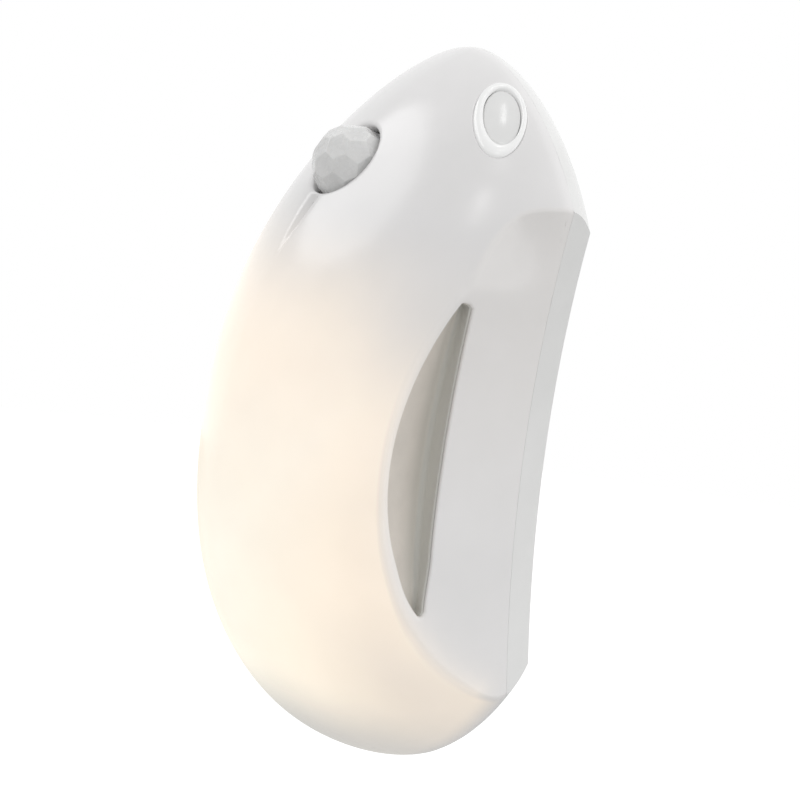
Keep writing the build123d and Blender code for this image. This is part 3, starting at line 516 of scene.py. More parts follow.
# The edge at the parting line rolls in and ends in a flat landing.
landing = 1.2
parting_ids = np.concatenate([ids[0], parting_lines[1][::-1], ids[-1, ::-1], parting_lines[-1]])
parting = np.array(cover.points)[parting_ids]
parting_flat = parting[:, [0, 2]]
away = outward(parting_flat, loop_run(parting_flat))
landing_way = as_points(-away[:, 0], 0, -away[:, 1])
back_way = np.array([0, 1.0, 0])
previous = weave_lip(parting_ids, parting, parting + cover_edge * back_way,
                     parting + cover_edge * (back_way + landing_way), 4)
cover.grow(previous, parting + cover_edge * back_way + landing * landing_way)

cover_piece = cover.to_object("cover_shell", 1.2)


wall_least, wall_jump = 0.06, 2.1
hair, skin_hair, cheek_hair, bezel_drill = 0.02, 0.003, 0.05, 6.0


def in_plastic(p):
    """Which points lie inside the moulding's outer form and outside its openings."""
    x = np.abs(p[:, 0])
    inside = (pod_value(p) < -skin_hair) & (p[:, 1] < -parting_depth)
    inside &= x < cheek_x(p[:, 2], p[:, 1]) - cheek_hair
    scooped = inside_loop(p[:, 1:], scoop) & (x > cheek_x(p[:, 2]) - scoop_wall)
    q = to_local(p, lens_axes)
    bored = (np.hypot(q[:, 0], q[:, 1]) < bore_radius - hair) & (q[:, 2] > -lens_seat)
    q = to_local(p, button_axes)
    reach = np.hypot(q[:, 0] - bezel_shift[0], q[:, 1] - bezel_shift[1])
    rim = oval_loop(bezel_radii, np.arctan2(q[:, 1] - bezel_shift[1], q[:, 0] - bezel_shift[0]))
    drilled = (reach < np.hypot(rim[:, 0], rim[:, 1]) - hair) & (q[:, 2] > -bezel_drill)
    return inside & ~scooped & ~bored & ~drilled


# The wall is as thick as fits behind each point: full under the skin, thin in the strip
# between scoop and edge and round the openings. It grows by steps that each have to fit.
co = np.array([v.co for v in cover_piece.data.vertices]) / MM
normals = np.array([v.normal for v in cover_piece.data.vertices])
wall_share = np.full(len(co), wall_least)
for share in (0.1, 0.15, 0.2, 0.3, 0.45, 0.6, 0.8, 1.0):
    fits = in_plastic(co - share * cover_wall * normals)
    wall_share = np.where(fits & (wall_share > share / wall_jump), share, wall_share)
walls = cover_piece.vertex_groups.new(name="wall")
for share in np.unique(wall_share):
    walls.add([int(i) for i in np.nonzero(wall_share == share)[0]], float(share), "REPLACE")
thick = cover_piece.modifiers.new("wall", "SOLIDIFY")
thick.thickness = cover_wall * MM
thick.offset = -1
thick.vertex_group = "wall"


def feed(tree, socket, value):
    """Gives a socket a number, a colour, a vector or another node's output."""
    if isinstance(value, bpy.types.NodeSocket):
        tree.links.new(value, socket)
    elif socket.type == "RGBA":
        socket.default_value = (*value, 1)
    else:
        socket.default_value = value


def add_node(tree, kind, inputs=None, **settings):
    made = tree.nodes.new(kind)
    for key, value in settings.items():
        setattr(made, key, value)
    for key, value in (inputs or {}).items():
        feed(tree, made.inputs[key], value)
    return made


class Look:
    """A procedural material under construction, patterned in millimetres of the shared frame."""

    def __init__(self, name):
        self.made = bpy.data.materials.new(name)
        self.made.use_nodes = True
        self.tree = self.made.node_tree
        self.tree.nodes.clear()
        self.shader = self.node("ShaderNodeBsdfPrincipled")
        self.node("ShaderNodeOutputMaterial", {"Surface": self.shader.outputs["BSDF"]})
        coordinates = self.node("ShaderNodeTexCoord").outputs["Object"]
        self.place = self.vector("MULTIPLY", coordinates, (1 / MM, 1 / MM, 1 / MM))

    def node(self, kind, inputs=None, **settings):
        return add_node(self.tree, kind, inputs, **settings)

    def set(self, name, value):
        feed(self.tree, self.shader.inputs[name], value)

    def math(self, operation, a, b=0.0):
        """Maths on two values, each a number or another node's output."""
        return self.node("ShaderNodeMath", {0: a, 1: b}, operation=operation).outputs[0]

    def times(self, a, b):
        return self.math("MULTIPLY", a, b)

    def rest(self, share):
        """What a share leaves of 1."""
        return self.math("SUBTRACT", 1.0, share)

    def vector(self, operation, a, b=(0, 0, 0)):
        """Maths on two vectors, with a vector or a length for its result."""
        made = self.node("ShaderNodeVectorMath", {0: a, 1: b}, operation=operation)
        return made.outputs["Vector" if operation in ("ADD", "SUBTRACT", "MULTIPLY") else "Value"]

    def noise(self, size, detail=3.0, stretch=(1, 1, 1)):
        """Noise from 0 to 1 whose blotches are about size millimetres across."""
        made = self.node("ShaderNodeTexNoise", {"Vector": self.vector("MULTIPLY", self.place, stretch),
                                                "Scale": 1 / size, "Detail": detail, "Roughness": 0.55})
        return made.outputs["Fac"]

    def span(self, value, low, high, start=0.32, end=0.68):
        """Carries a value from between start and end to between low and high."""
        made = self.node("ShaderNodeMapRange", {"Value": value, "From Min": start, "From Max": end,
                                                "To Min": low, "To Max": high})
        return made.outputs[0]

    def along(self, axis, origin=(0, 0, 0)):
        """Distance in millimetres along an axis from an origin."""
        shifted = self.vector("SUBTRACT", self.place, tuple(origin))
        return self.vector("DOT_PRODUCT", shifted, tuple(axis))

    def off(self, axis, origin=(0, 0, 0)):
        """Distance in millimetres along an axis to either side of an origin."""
        return self.math("ABSOLUTE", self.along(axis, origin))

    def mix(self, factor, a, b):
        """Mixes two colours: sockets 6 and 7 and output 2 are the mixing node's colours."""
        return self.node("ShaderNodeMix", {0: factor, 6: a, 7: b}, data_type="RGBA").outputs[2]

    def bump(self, height, depth):
        """Raises the surface by height, from 0 to 1, times depth millimetres."""
        made = self.node("ShaderNodeBump", {"Height": height, "Strength": 1.0, "Distance": depth * MM})
        self.set("Normal", made.outputs[0])


def moulded(name, light, dark, gloss, grain, depth, blotch=9.0, ior=1.5):
    """Moulded plastic: two close tones in soft blotches, gloss as a roughness range, fine grain."""
    look = Look(name)
    tone = look.span(look.noise(blotch), 0, 1)
    look.colour = look.mix(tone, dark, light)
    look.set("Base Color", look.colour)
    look.set("Roughness", look.span(look.noise(blotch * 0.35, 4), gloss[0], gloss[1]))
    look.set("IOR", ior)
    look.bump(look.math("ADD", look.noise(grain, 2), look.times(look.noise(grain * 6, 2), 2.0)), depth)
    return look


def dress(piece, look):
    piece.data.materials.clear()
    piece.data.materials.append(look.made)


# The lamps' light that comes through is strongest low on the front, fades out towards the lens
# and the cheeks, and turns warmer there. On a cheek a little spills over the front edge.
glow_middle, glow_fall = 0.385, 0.0034
spill_light, spill_reach, cheek_glow = 0.21, 1.6, 0.025
lens_fade, foot_fade, wall_fade, rim_fade = (11.5, 31), (36, 50), (3.2, 8.0), (22, 29)
shoulder_reach, shoulder_heights, hip_reach, hip_depths = (14, 31), (2, 20), (12, 30), (20, 38)
foot_loss, shoulder_loss, hip_loss, rim_loss = 0.8, 0.75, 0.39, 0.12
spill_fade, cheek_heights, front_from = (4, 22), (-22, 15), -8
warm_sides, warm_heights = (3, 27), (-22, 8)
blend_depth, blend_gain, blend_drop = 0.7, 0.45, (18, 30)
px, py, pz = np.abs(co[:, 0]), co[:, 1], co[:, 2]
front_light = (glow_middle - glow_fall * pz) * (1 - ramp(pz, *lens_fade))
front_light *= 1 - foot_loss * ramp(-pz, *foot_fade)
front_light *= 1 - shoulder_loss * ramp(px, *shoulder_reach) * ramp(pz, *shoulder_heights)
front_light *= 1 - hip_loss * ramp(px, *hip_reach) * ramp(-pz, *hip_depths)
front_light *= ramp(-py, *wall_fade) * (1 - rim_loss * ramp(px, *rim_fade))
front_line = edge_flat[edge_flat[:, 0] < front_from]
from_front = np.concatenate([gap_to(part, front_line) for part in np.array_split(co[:, 1:], 40)])
spill = spill_light * np.exp(-from_front / spill_reach) * (1 - ramp(pz, *spill_fade))
cheek_light = spill + cheek_glow * ramp(pz, *cheek_heights)
warmth = np.maximum(np.interp(px, warm_sides, (0, 1)), np.interp(pz, warm_heights, (0, 1)))
# The front's light gives way to the cheek's over a share of the depth below the cheek.
inset = (cheek_x(pz, py) - px) / (blend_depth + blend_gain * ramp(-pz, *blend_drop))
inset[inside_loop(co[:, 1:], scoop_edge)] = 0
glow = {"front_light": front_light, "cheek_light": cheek_light, "warmth": warmth, "inset": inset}
for name, values in glow.items():
    layer = cover_piece.data.attributes.new(name, "FLOAT", "POINT")
    layer.data.foreach_set("value", values.astype(np.float32))

milky = moulded("milky_polycarbonate", (0.80, 0.79, 0.79), (0.77, 0.762, 0.76), (0.15, 0.22),
                1.6, 0.004, blotch=14, ior=1.58)
front_share, side_share, warm_share, below = [
    milky.node("ShaderNodeAttribute", attribute_name=name).outputs["Fac"] for name in glow]
front_part = milky.node("ShaderNodeMapRange", {"Value": below, "From Min": 0.05},
                        interpolation_type="SMOOTHSTEP").outputs[0]
front_glow = milky.times(front_share, front_part)
side_glow = milky.times(side_share, milky.rest(front_part))
uneven = milky.span(milky.noise(11, 2), 0.95, 1.03)
milky.set("Emission Color", milky.mix(warm_share, (1.0, 0.90, 0.66), (1.0, 0.73, 0.41)))
milky.set("Emission Strength", milky.times(milky.math("ADD", front_glow, side_glow), uneven))
dress(cover_piece, milky)
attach(cover_piece, "housing")
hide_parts("front_cover")


# ---- Motion lens ------------------------------------------------------------------------
# A thin polyethylene dome cut into flat facets, each with the rings of a small Fresnel lens on
# it. Below the dome a barrel and a flange sit in the cover's bore, held from behind.

lens_facet_reach, lens_centre, lens_cut = 5.55, -1.9, -2.0
lens_barrel, lens_flange, lens_flange_height = 6.15, 7.6, 1.0
lens_skin, lens_edge = 0.9, 0.2
lens_spin, lens_tip = np.radians(20.0), np.radians(12.0)
facet_way = np.array([0.3, 0.5, 0.81])

ball = bmesh.new()
bmesh.ops.create_icosphere(ball, subdivisions=2, radius=1)
lens_turn = np.array(Matrix.Rotation(lens_tip, 3, "X") @ Matrix.Rotation(lens_spin, 3, "Z"))
aims = {v.index: lens_turn @ unit(np.array(v.co)) for v in ball.verts}
corners = {}
for face in ball.faces:
    planes = [aims[v.index] for v in face.verts]
    corners[face.index] = np.linalg.solve(planes, np.full(3, lens_facet_reach))
lens = bmesh.new()
facet_of = lens.faces.layers.int.new("facet")
rise = np.array([0, 0, lens_centre])
corner_verts = {index: lens.verts.new(at + rise) for index, at in corners.items()}
facet_sides = []
for v in ball.verts:
    side_x = unit(np.cross(aims[v.index], facet_way))
    side_y = np.cross(aims[v.index], side_x)
    around = {f.index: corners[f.index] for f in v.link_faces}
    order = sorted(around, key=lambda index: np.arctan2(around[index] @ side_y, around[index] @ side_x))
    facet = lens.faces.new([corner_verts[index] for index in order])
    facet[facet_of] = len(facet_sides)
    facet_sides.append((side_x, side_y))
ball.free()
geometry = lens.verts[:] + lens.edges[:] + lens.faces[:]
bmesh.ops.bisect_plane(lens, geom=geometry, plane_co=(0, 0, lens_cut), plane_no=(0, 0, 1),
                       clear_inner=True)
facet_map = lens.loops.layers.uv.new("facet")
for face in lens.faces:
    side_x, side_y = facet_sides[face[facet_of]]
    for loop in face.loops:
        at = np.array(loop.vert.co) - rise
        loop[facet_map].uv = (at @ side_x, at @ side_y)


def turn_of(v):
    return np.arctan2(v.co.y, v.co.x)


rim = sorted((v for v in lens.verts if v.is_boundary), key=turn_of)
lens_back = -lens_seat - lens_flange_height
inner_radius = lens_barrel - lens_skin
profile = [(lens_barrel, lens_cut - 0.1), (lens_barrel, -lens_seat), (lens_flange, -lens_seat),
           (lens_flange, lens_back), (inner_radius, lens_back), (inner_radius, lens_cut + 0.4)]
previous = rim
for radius, height in profile:
    ring = [lens.verts.new((radius * np.cos(a), radius * np.sin(a), height)) for a in map(turn_of, rim)]
    for i in range(len(ring)):
        lens.faces.new((previous[i - 1], previous[i], ring[i], ring[i - 1]))
    previous = ring
lens.faces.new(previous)
bmesh.ops.recalc_face_normals(lens, faces=lens.faces)
for v in lens.verts:
    v.co = Vector(to_world(np.array(v.co)[None], lens_axes)[0] * MM)
lens_mesh = bpy.data.meshes.new("lens_dome")
lens.to_mesh(lens_mesh)
lens.free()
lens_mesh.shade_smooth()
lens_piece = put_in_scene("lens_dome", lens_mesh)


def soften(piece, width, segments, angle):
    """Rounds the edges that turn by more than an angle in degrees."""
    worn = piece.modifiers.new("soft_edges", "BEVEL")
    worn.width = width * MM
    worn.segments = segments
    worn.limit_method = "ANGLE"
    worn.angle_limit = np.radians(angle)
    worn.harden_normals = True


soften(lens_piece, lens_edge, 3, 18)

ring_pitch, ring_depth = 0.34, 0.005
lens_look = moulded("lens_polyethylene", (0.74, 0.74, 0.735), (0.68, 0.68, 0.675), (0.22, 0.32),
                    0.5, 0.003, blotch=3, ior=1.54)
reach = lens_look.vector("LENGTH", lens_look.node("ShaderNodeUVMap", uv_map="facet").outputs[0])
lens_look.bump(lens_look.math("FRACT", lens_look.times(reach, 1 / ring_pitch)), ring_depth)
lens_look.set("Subsurface Weight", 0.25)
lens_look.set("Subsurface Radius", (1.0, 0.95, 0.9))
lens_look.set("Subsurface Scale", 1.2 * MM)
dress(lens_piece, lens_look)
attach(lens_piece, "housing")
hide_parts("pir_lens")


# ---- Mode button and its bezel ----------------------------------------------------------
# A glossy oval cap that follows the pod's skin, in a thicker ring set off-centre round it, whose white is
# painted brighter than the cover's as a highlight. The ring is pressed into the cover, and the cap slides
# in along its own axis.

button_radii, button_play = (5.6, 2.35), 0.05
bezel_proud, bezel_root, bezel_foot = 0.36, 0.1, -5.3
button_edge, button_crown = 0.3, 0.12


def skin_height(flat):
    """Height of the skin over a point of the button frame."""
    return to_local(drop_local(flat, button_axes), button_axes)[..., 2]


def raised(flat, height):
    return lift(flat, height, button_axes)


# The loops go up the ring's outer wall, over its rolled crown and down its inner wall.
bezel = Weave()
angles = np.linspace(0, 2 * np.pi, 144, endpoint=False)
outer = oval_loop(bezel_radii, angles, bezel_shift)
inner = oval_loop(button_radii, angles)
loops = [raised(outer, bezel_foot)]
for t in np.linspace(0, np.pi, 15):
    share = 0.5 - 0.5 * np.cos(t)
    flat = outer * (1 - share) + inner * share
    crown = (bezel_proud + bezel_root) * np.sin(t) ** 0.55 - bezel_root
    loops.append(raised(flat, skin_height(flat) + crown))
loops.append(raised(inner, bezel_foot))
bezel.loft(loops + loops[:1], capped=False)
bezel_piece = bezel.to_object("button_ring", 1.1)
# The ring's white is painted brighter than the cover's: a painted highlight.
ring_highlight_look = moulded("ring_white_painted_highlight", (0.96, 0.96, 0.955), (0.94, 0.94, 0.935), (0.08, 0.14),
                    1.5, 0.002, blotch=5)
dress(bezel_piece, ring_highlight_look)
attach(bezel_piece, "housing")
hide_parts("button_bezel")

button = Weave()
cap_radii = (button_radii[0] - button_play, button_radii[1] - button_play)
flange_reach, flange_height, stem_radius, stem_end = 0.55, 1.0, 1.6, -6.94
flange_radii = (button_radii[0] + flange_reach, button_radii[1] + flange_reach)
flange_top = bezel_foot - 0.06
cap = oval_loop(cap_radii, angles)
loops = []
for share in (0.2, 0.38, 0.54, 0.68, 0.8, 0.88, 0.93):
    flat = cap * share
    loops.append(raised(flat, skin_height(flat) - button_crown * share ** 2))
for t in np.linspace(0, np.pi / 2, 6):
    shrink = button_edge * (1 - np.sin(t))
    flat = oval_loop((cap_radii[0] - shrink, cap_radii[1] - shrink), angles)
    fall = button_crown + button_edge * (1 - np.cos(t))
    loops.append(raised(flat, skin_height(flat) - fall))
flange, stem = oval_loop(flange_radii, angles), oval_loop((stem_radius, stem_radius), angles)
for loop, height in ((cap, flange_top), (flange, flange_top), (flange, flange_top - flange_height),
                     (stem, flange_top - flange_height), (stem, stem_end)):
    loops.append(raised(loop, height))
button.loft(loops)
button_piece = button.to_object("button_cap", 1.1)
cap_look = moulded("button_gloss_white", (0.80, 0.80, 0.793), (0.77, 0.77, 0.765), (0.1, 0.17),
                   1.4, 0.003, blotch=5)
dress(button_piece, cap_look)
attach(button_piece, "mode_button")
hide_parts("mode_button")


# ---- Finger grips -----------------------------------------------------------------------
# Two inserts in grey-brown soft-touch rubber that line the crescent scoops in the cheeks, held by
# a tab behind each rear edge. Their floors slope inwards to the rear and end in an upright wall.

scoop_depth, grip_step, grip_wall, grip_lining = 4.8, 0.7, 1.2, 0.32
grip_round, grip_top, grip_lip, grip_lap = 1.3, 0.5, 0.12, 0.04
least_width, fold_share, rise_share, floor_clear, lip_clear = 0.05, 0.4, 0.8, 0.03, 0.01
tab_fore, tab_rear, tab_heights, tab_gap, tab_thickness = -16.4, -13.2, (-18.4, 15.6), 0.45, 1.1
waist = cheek_span - cheek_sag
floor_drop = 3.4
floor_radius = (scoop_half ** 2 + floor_drop ** 2) / (2 * floor_drop)
slope = unit(np.array([scoop_depth - grip_step, -scoop_bulge - scoop_tip]))
out_way = np.array([-slope[1], slope[0]])
bow_line = scoop_front(np.linspace(-1, 1, 200))
bow_line[:, 0] -= foot_shift(bow_line[:, 1])


def grip_floor(y, z):
    """X of the grip's floor."""
    sag = floor_radius - np.sqrt(floor_radius ** 2 - (z - scoop_middle) ** 2)
    return waist - scoop_depth + (sag - (y - scoop_rear) * out_way[1]) / out_way[0]


def grip_section(z):
    """The grip cut across at height z: X and Y of one closed outline."""
    past_end = max(z - scoop_shoulder, scoop_foot - z, 0)
    tip_share = np.sqrt(max(1 - (past_end / scoop_tip) ** 2, 0))
    rear = scoop_back - grip_lap + (scoop_tip + rear_lean(z)) * tip_share - foot_shift(z)
    fore = min(np.interp(z, bow_line[:, 1], bow_line[:, 0]) + grip_lap, rear - least_width)
    width = rear - fore
    lining, roll = min(grip_lining, fold_share * width), min(grip_round, fold_share * width)
    face = rear - lining
    top = cheek_x(z) - grip_top

    def floor(y):
        return np.minimum(grip_floor(y, z), top - floor_clear)

    lip = min(grip_lip, lining / 2)
    rise = min(roll, rise_share * (top - floor(face)))
    quarter = np.linspace(0, np.pi / 2, 8)
    ys = np.linspace(fore, face - roll, 14)
    wall_top = top - min(lip, lip_clear + top - floor(face) - rise)
    wall = np.linspace(floor(face) + rise, wall_top, 7)
    under = np.linspace(rear, fore, 9)
    return np.concatenate([
        as_points(floor(ys), ys),
        as_points(floor(face - roll + roll * np.sin(quarter)) + rise * (1 - np.cos(quarter)),
                  face - roll + roll * np.sin(quarter))[1:],
        as_points(wall, np.full(7, face))[1:],
        as_points(top - lip + lip * np.sin(quarter), face + lip * (1 - np.cos(quarter)))[1:],
        [(top, rear)],
        as_points(floor(under) - grip_wall, under),
    ])


heights = scoop_middle - (scoop_half - 0.06) * np.cos(np.linspace(0, np.pi, 130))
profiles = [grip_section(z) for z in heights]
tab_z = np.linspace(*tab_heights, 18)
tab_front = tab_fore + rear_lean(tab_z)
tab_x = cheek_x(tab_z) - cover_wall - tab_gap
rubber = moulded("soft_touch_rubber", (0.70, 0.65, 0.59), (0.64, 0.595, 0.54), (0.62, 0.78),
                 0.28, 0.02, blotch=6)
# Painted light and shade: the floor is painted a little lighter towards its fold, against the shade
# there, and the wall behind the fold is painted darker as shade, darker still towards the lip.
from_rear = rubber.along(unit(np.array([0, 1, -0.035])), (0, scoop_rear, 0))
fold_painted_light = rubber.span(from_rear, 0, 1, -3.3, -0.9)
wall_painted_shade = rubber.span(from_rear, 0, 1, -0.8, -0.4)
lip_painted_shade = rubber.span(rubber.off((1, 0, 0)), 0, 1, waist - 3.2, waist - 0.9)
floor_colour_painted_light = rubber.mix(fold_painted_light, rubber.colour, (0.68, 0.65, 0.595))
wall_colour_painted_shade = rubber.mix(lip_painted_shade, (0.62, 0.615, 0.575), (0.54, 0.535, 0.50))
rubber.set("Base Color", rubber.mix(wall_painted_shade, floor_colour_painted_light, wall_colour_painted_shade))
rubber.set("Sheen Weight", 0.25)
rubber.set("Sheen Roughness", 0.5)
for side, side_name in ((-1, "left"), (1, "right")):
    insert = Weave()
    insert.loft([as_points(side * cut[:, 0], cut[:, 1], z) for z, cut in zip(heights, profiles)])
    insert.loft([[(side * x, y, z), (side * x, tab_rear, z), (side * (x - tab_thickness), tab_rear, z),
                  (side * (x - tab_thickness), y, z)] for x, y, z in zip(tab_x, tab_front, tab_z)])
    grip_piece = insert.to_object("grip_pad_" + side_name, 1.0)
    dress(grip_piece, rubber)
    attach(grip_piece, "housing")
    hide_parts("grip_" + side_name)


# ---- Motion sensor ----------------------------------------------------------------------
# A pyroelectric sensor in a plated can looks through the lens from its own small board, inside a
# black tube that keeps the lamps' light out. Beside it stand a photocell and, behind, the chip.


def eased(name, width, look):
    """Softens a CAD piece's edges and gives it its finish."""
    dress(nodes[name], look)
    weld = nodes[name].modifiers.new("weld", "WELD")
    weld.merge_threshold = 1e-6
    soften(nodes[name], width, 2, 38)


def metal(name, light, dark, gloss, streak, depth=0.003, stretch=(1, 1, 1)):
    """Metal with streaks drawn out along the axis that stretch squeezes."""
    look = Look(name)
    look.set("Base Color", look.mix(look.span(look.noise(streak, 4, stretch), 0, 1), dark, light))
    look.set("Metallic", 1.0)
    look.set("Roughness", look.span(look.noise(streak * 5, 3), *gloss))
    look.bump(look.noise(streak * 0.4, 3, stretch), depth)
    return look


def tin(look, share, tin_light=(0.72, 0.71, 0.68)):
    """Turns part of a moulded look into tinned metal: share is 1 on the metal."""
    look.set("Base Color", look.mix(share, look.colour, tin_light))
    look.set("Metallic", share)


def beyond(look, value, edge, soft_band=0.05):
    """1 where a value in millimetres is beyond an edge."""
    return look.span(value, 0, 1, edge - soft_band, edge + soft_band)


def circuit_board(name, mask, track, across, up, pitch=1.27):
    """Solder mask over copper tracks, in rows along up and across, on a board's two axes."""
    look = Look(name)
    place = look.node("ShaderNodeCombineXYZ", {"X": look.along(across), "Y": look.along(up)}).outputs[0]
    tracks = look.node("ShaderNodeTexBrick", {
        "Vector": place, "Scale": 1.0, "Mortar Size": 0.16, "Mortar Smooth": 0.3, "Row Height": pitch,
        "Brick Width": 4.2 * pitch, "Color1": (0, 0, 0), "Color2": (0, 0, 0), "Mortar": (1, 1, 1)})
    lines = look.times(tracks.outputs["Color"], beyond(look, look.noise(5.5, 1), 0.47, 0.01))
    tone = look.mix(look.span(look.noise(2.5), 0, 1), mask, tuple(0.85 * c for c in mask))
    look.set("Base Color", look.mix(lines, tone, track))
    look.set("Roughness", look.span(look.noise(1.2, 4), 0.28, 0.42))
    look.set("Coat Weight", 0.4)
    look.set("Coat Roughness", 0.15)
    look.bump(look.math("ADD", lines, look.times(look.noise(0.5, 2), 0.35)), 0.03)
    return look


lens_up = lens_axes[2]
black = moulded("black_plastic_matte", (0.032, 0.032, 0.034), (0.022, 0.022, 0.024), (0.5, 0.62),
                0.35, 0.02)
green_board = circuit_board("green_solder_mask", (0.03, 0.2, 0.1), (0.06, 0.3, 0.14), (1, 0, 0), lens_up)
can_look = metal("sensor_can_plating", (0.72, 0.70, 0.66), (0.60, 0.585, 0.55), (0.22, 0.34), 1.1)
steel = metal("zinc_plated_steel", (0.64, 0.64, 0.66), (0.52, 0.52, 0.54), (0.26, 0.4), 0.35, 0.006)
silicon = moulded("silicon_filter", (0.09, 0.09, 0.115), (0.065, 0.065, 0.085), (0.05, 0.1), 0.5, 0.001,
                  blotch=1.5, ior=2.2)

# The photocell's face carries a winding track of pale sulphide between two orange electrodes.
track_pitch, track_reach = 0.62, 0.8
cell = moulded("photocell_glaze", (0.72, 0.42, 0.22), (0.66, 0.37, 0.19), (0.1, 0.18),
               0.4, 0.004, blotch=1.2)
wind = cell.math("SINE", cell.times(cell.along(lens_up), 2 * np.pi / track_pitch))
bent = cell.times(cell.math("SIGN", wind), cell.along((1, 0, 0)))
track_line = beyond(cell, cell.math("ABSOLUTE", wind), 0.55, 0.1)
groove = cell.times(track_line, beyond(cell, bent, -track_reach))
cell.set("Base Color", cell.mix(groove, cell.colour, (0.86, 0.80, 0.62)))

# The chip's leads stand out on both long sides of its black body.
chip_middle, chip_half = 5.6, 1.95
chip = moulded("chip_epoxy", (0.034, 0.034, 0.036), (0.026, 0.026, 0.028), (0.45, 0.6),
               0.25, 0.01, blotch=2)
chip_reach = chip.off(lens_up, lens_axes[0] + chip_middle * lens_up)
tin(chip, beyond(chip, chip_reach, chip_half + 0.03, 0.02))
eased("lens_holder", 0.15, black)
eased("pir_sensor", 0.12, can_look)
dress(nodes["pir_window"], silicon)
eased("light_sensor", 0.15, cell)
eased("sensor_board", 0.08, green_board)
dress(nodes["sensor_chip"], chip)
dress(nodes["sensor_screws"], steel)


# ---- Mode switch ------------------------------------------------------------------------
# A side-acting push switch with a white nose and plunger, soldered to its own small board, which
# two screws hold behind the button.

switch_back = button_axes[0][1] + 2.15
switch_body = moulded("switch_moulding", (0.05, 0.05, 0.054), (0.038, 0.038, 0.04), (0.42, 0.55),
                      0.3, 0.012, blotch=3)
tin(switch_body, beyond(switch_body, switch_body.along((0, 1, 0)), switch_back + 0.02, 0.02))
acetal = moulded("plunger_acetal", (0.78, 0.77, 0.74), (0.72, 0.71, 0.68), (0.3, 0.42),
                 0.3, 0.006, blotch=2)
switch_mask = circuit_board("switch_board_mask", (0.035, 0.21, 0.105), (0.065, 0.31, 0.15),
                            button_axes[1], button_axes[3])
eased("mode_switch", 0.12, switch_body)
eased("switch_plunger", 0.1, acetal)
eased("switch_board", 0.08, switch_mask)
dress(nodes["switch_screws"], steel)


# ---- Light box --------------------------------------------------------------------------
# A deep white tub that stands on four posts and spreads the light of ten lamps on a white
# aluminium board over the inside of the cover.

lamp_rows, lamp_columns, lamp_pitch, lamp_centre = 5, 7.0, 9.6, -14.0
lamp_window, lamp_power = 1.25, 1.6
tub_look = moulded("diffuse_white_box", (0.92, 0.92, 0.90), (0.88, 0.88, 0.86), (0.55, 0.7),
                   0.4, 0.02, blotch=8)
white_board = circuit_board("white_solder_mask", (0.88, 0.88, 0.86), (0.80, 0.80, 0.77),
                            (1, 0, 0), (0, 0, 1), 2.4)
lamp = moulded("lamp_package", (0.86, 0.86, 0.83), (0.82, 0.82, 0.79), (0.25, 0.35), 0.3, 0.004, blotch=1)
lamp_x = lamp.math("SUBTRACT", lamp.off((1, 0, 0)), lamp_columns)
lamp_foot = lamp_centre - lamp_pitch * lamp_rows / 2
row_share = lamp.times(lamp.along((0, 0, 1), (0, 0, lamp_foot)), 1 / lamp_pitch)
lamp_z = lamp.times(lamp.math("SUBTRACT", lamp.math("FRACT", row_share), 0.5), lamp_pitch)
lamp_at = lamp.node("ShaderNodeCombineXYZ", {"X": lamp_x, "Y": lamp_z}).outputs[0]
phosphor = lamp.rest(beyond(lamp, lamp.vector("LENGTH", lamp_at), lamp_window, 0.08))
lamp.set("Base Color", lamp.mix(phosphor, lamp.colour, (0.95, 0.78, 0.30)))
lamp.set("Emission Color", (1.0, 0.80, 0.52))
lamp.set("Emission Strength", lamp.times(phosphor, lamp_power))
eased("reflector", 0.2, tub_look)
eased("led_board", 0.1, white_board)
eased("leds", 0.08, lamp)
dress(nodes["tub_screws"], steel)


# ---- Mains board ------------------------------------------------------------------------
# A green glass-fibre board that carries the supply: a boxed dropper capacitor, a rectifier, an
# electrolytic can, a fusible resistor with its colour bands and a small regulator.

board_face = -10.6
mains_board = circuit_board("mains_board_mask", (0.03, 0.19, 0.095), (0.06, 0.3, 0.14),
                            (1, 0, 0), (0, 0, 1), 2.1)
film_box = moulded("film_box_yellow", (0.86, 0.63, 0.10), (0.80, 0.57, 0.085), (0.28, 0.4),
                   0.35, 0.012, blotch=5)

# The can's sleeve has a grey stripe along its front and leaves its end bare.
stripe_depth, can_end_x = board_face - 5.65, 9.25
sleeve = moulded("can_sleeve_film", (0.06, 0.07, 0.10), (0.045, 0.053, 0.08), (0.2, 0.3),
                 0.6, 0.004, blotch=4)
stripe = sleeve.rest(beyond(sleeve, sleeve.along((0, 1, 0)), stripe_depth))
can_end = beyond(sleeve, sleeve.along((1, 0, 0)), can_end_x - 0.12, 0.03)
sleeve_tone = sleeve.mix(stripe, sleeve.colour, (0.62, 0.64, 0.66))
sleeve.set("Base Color", sleeve.mix(can_end, sleeve_tone, (0.74, 0.74, 0.75)))
sleeve.set("Metallic", can_end)


def epoxy(name):
    return moulded(name, (0.034, 0.034, 0.036), (0.025, 0.025, 0.027), (0.45, 0.6), 0.25, 0.01, blotch=2)


# The rectifier has a glossy dot by its first lead.
rectifier = epoxy("rectifier_epoxy")
tin(rectifier, beyond(rectifier, rectifier.off((0, 0, 1), (0, 0, 15.0)), 2.37, 0.02))
dot_gap = rectifier.vector("DISTANCE", rectifier.place, (-9.5, -13.2, 16.6))
rectifier.set("Roughness", rectifier.span(rectifier.math("LESS_THAN", dot_gap, 0.35), 0.55, 0.2, 0, 1))

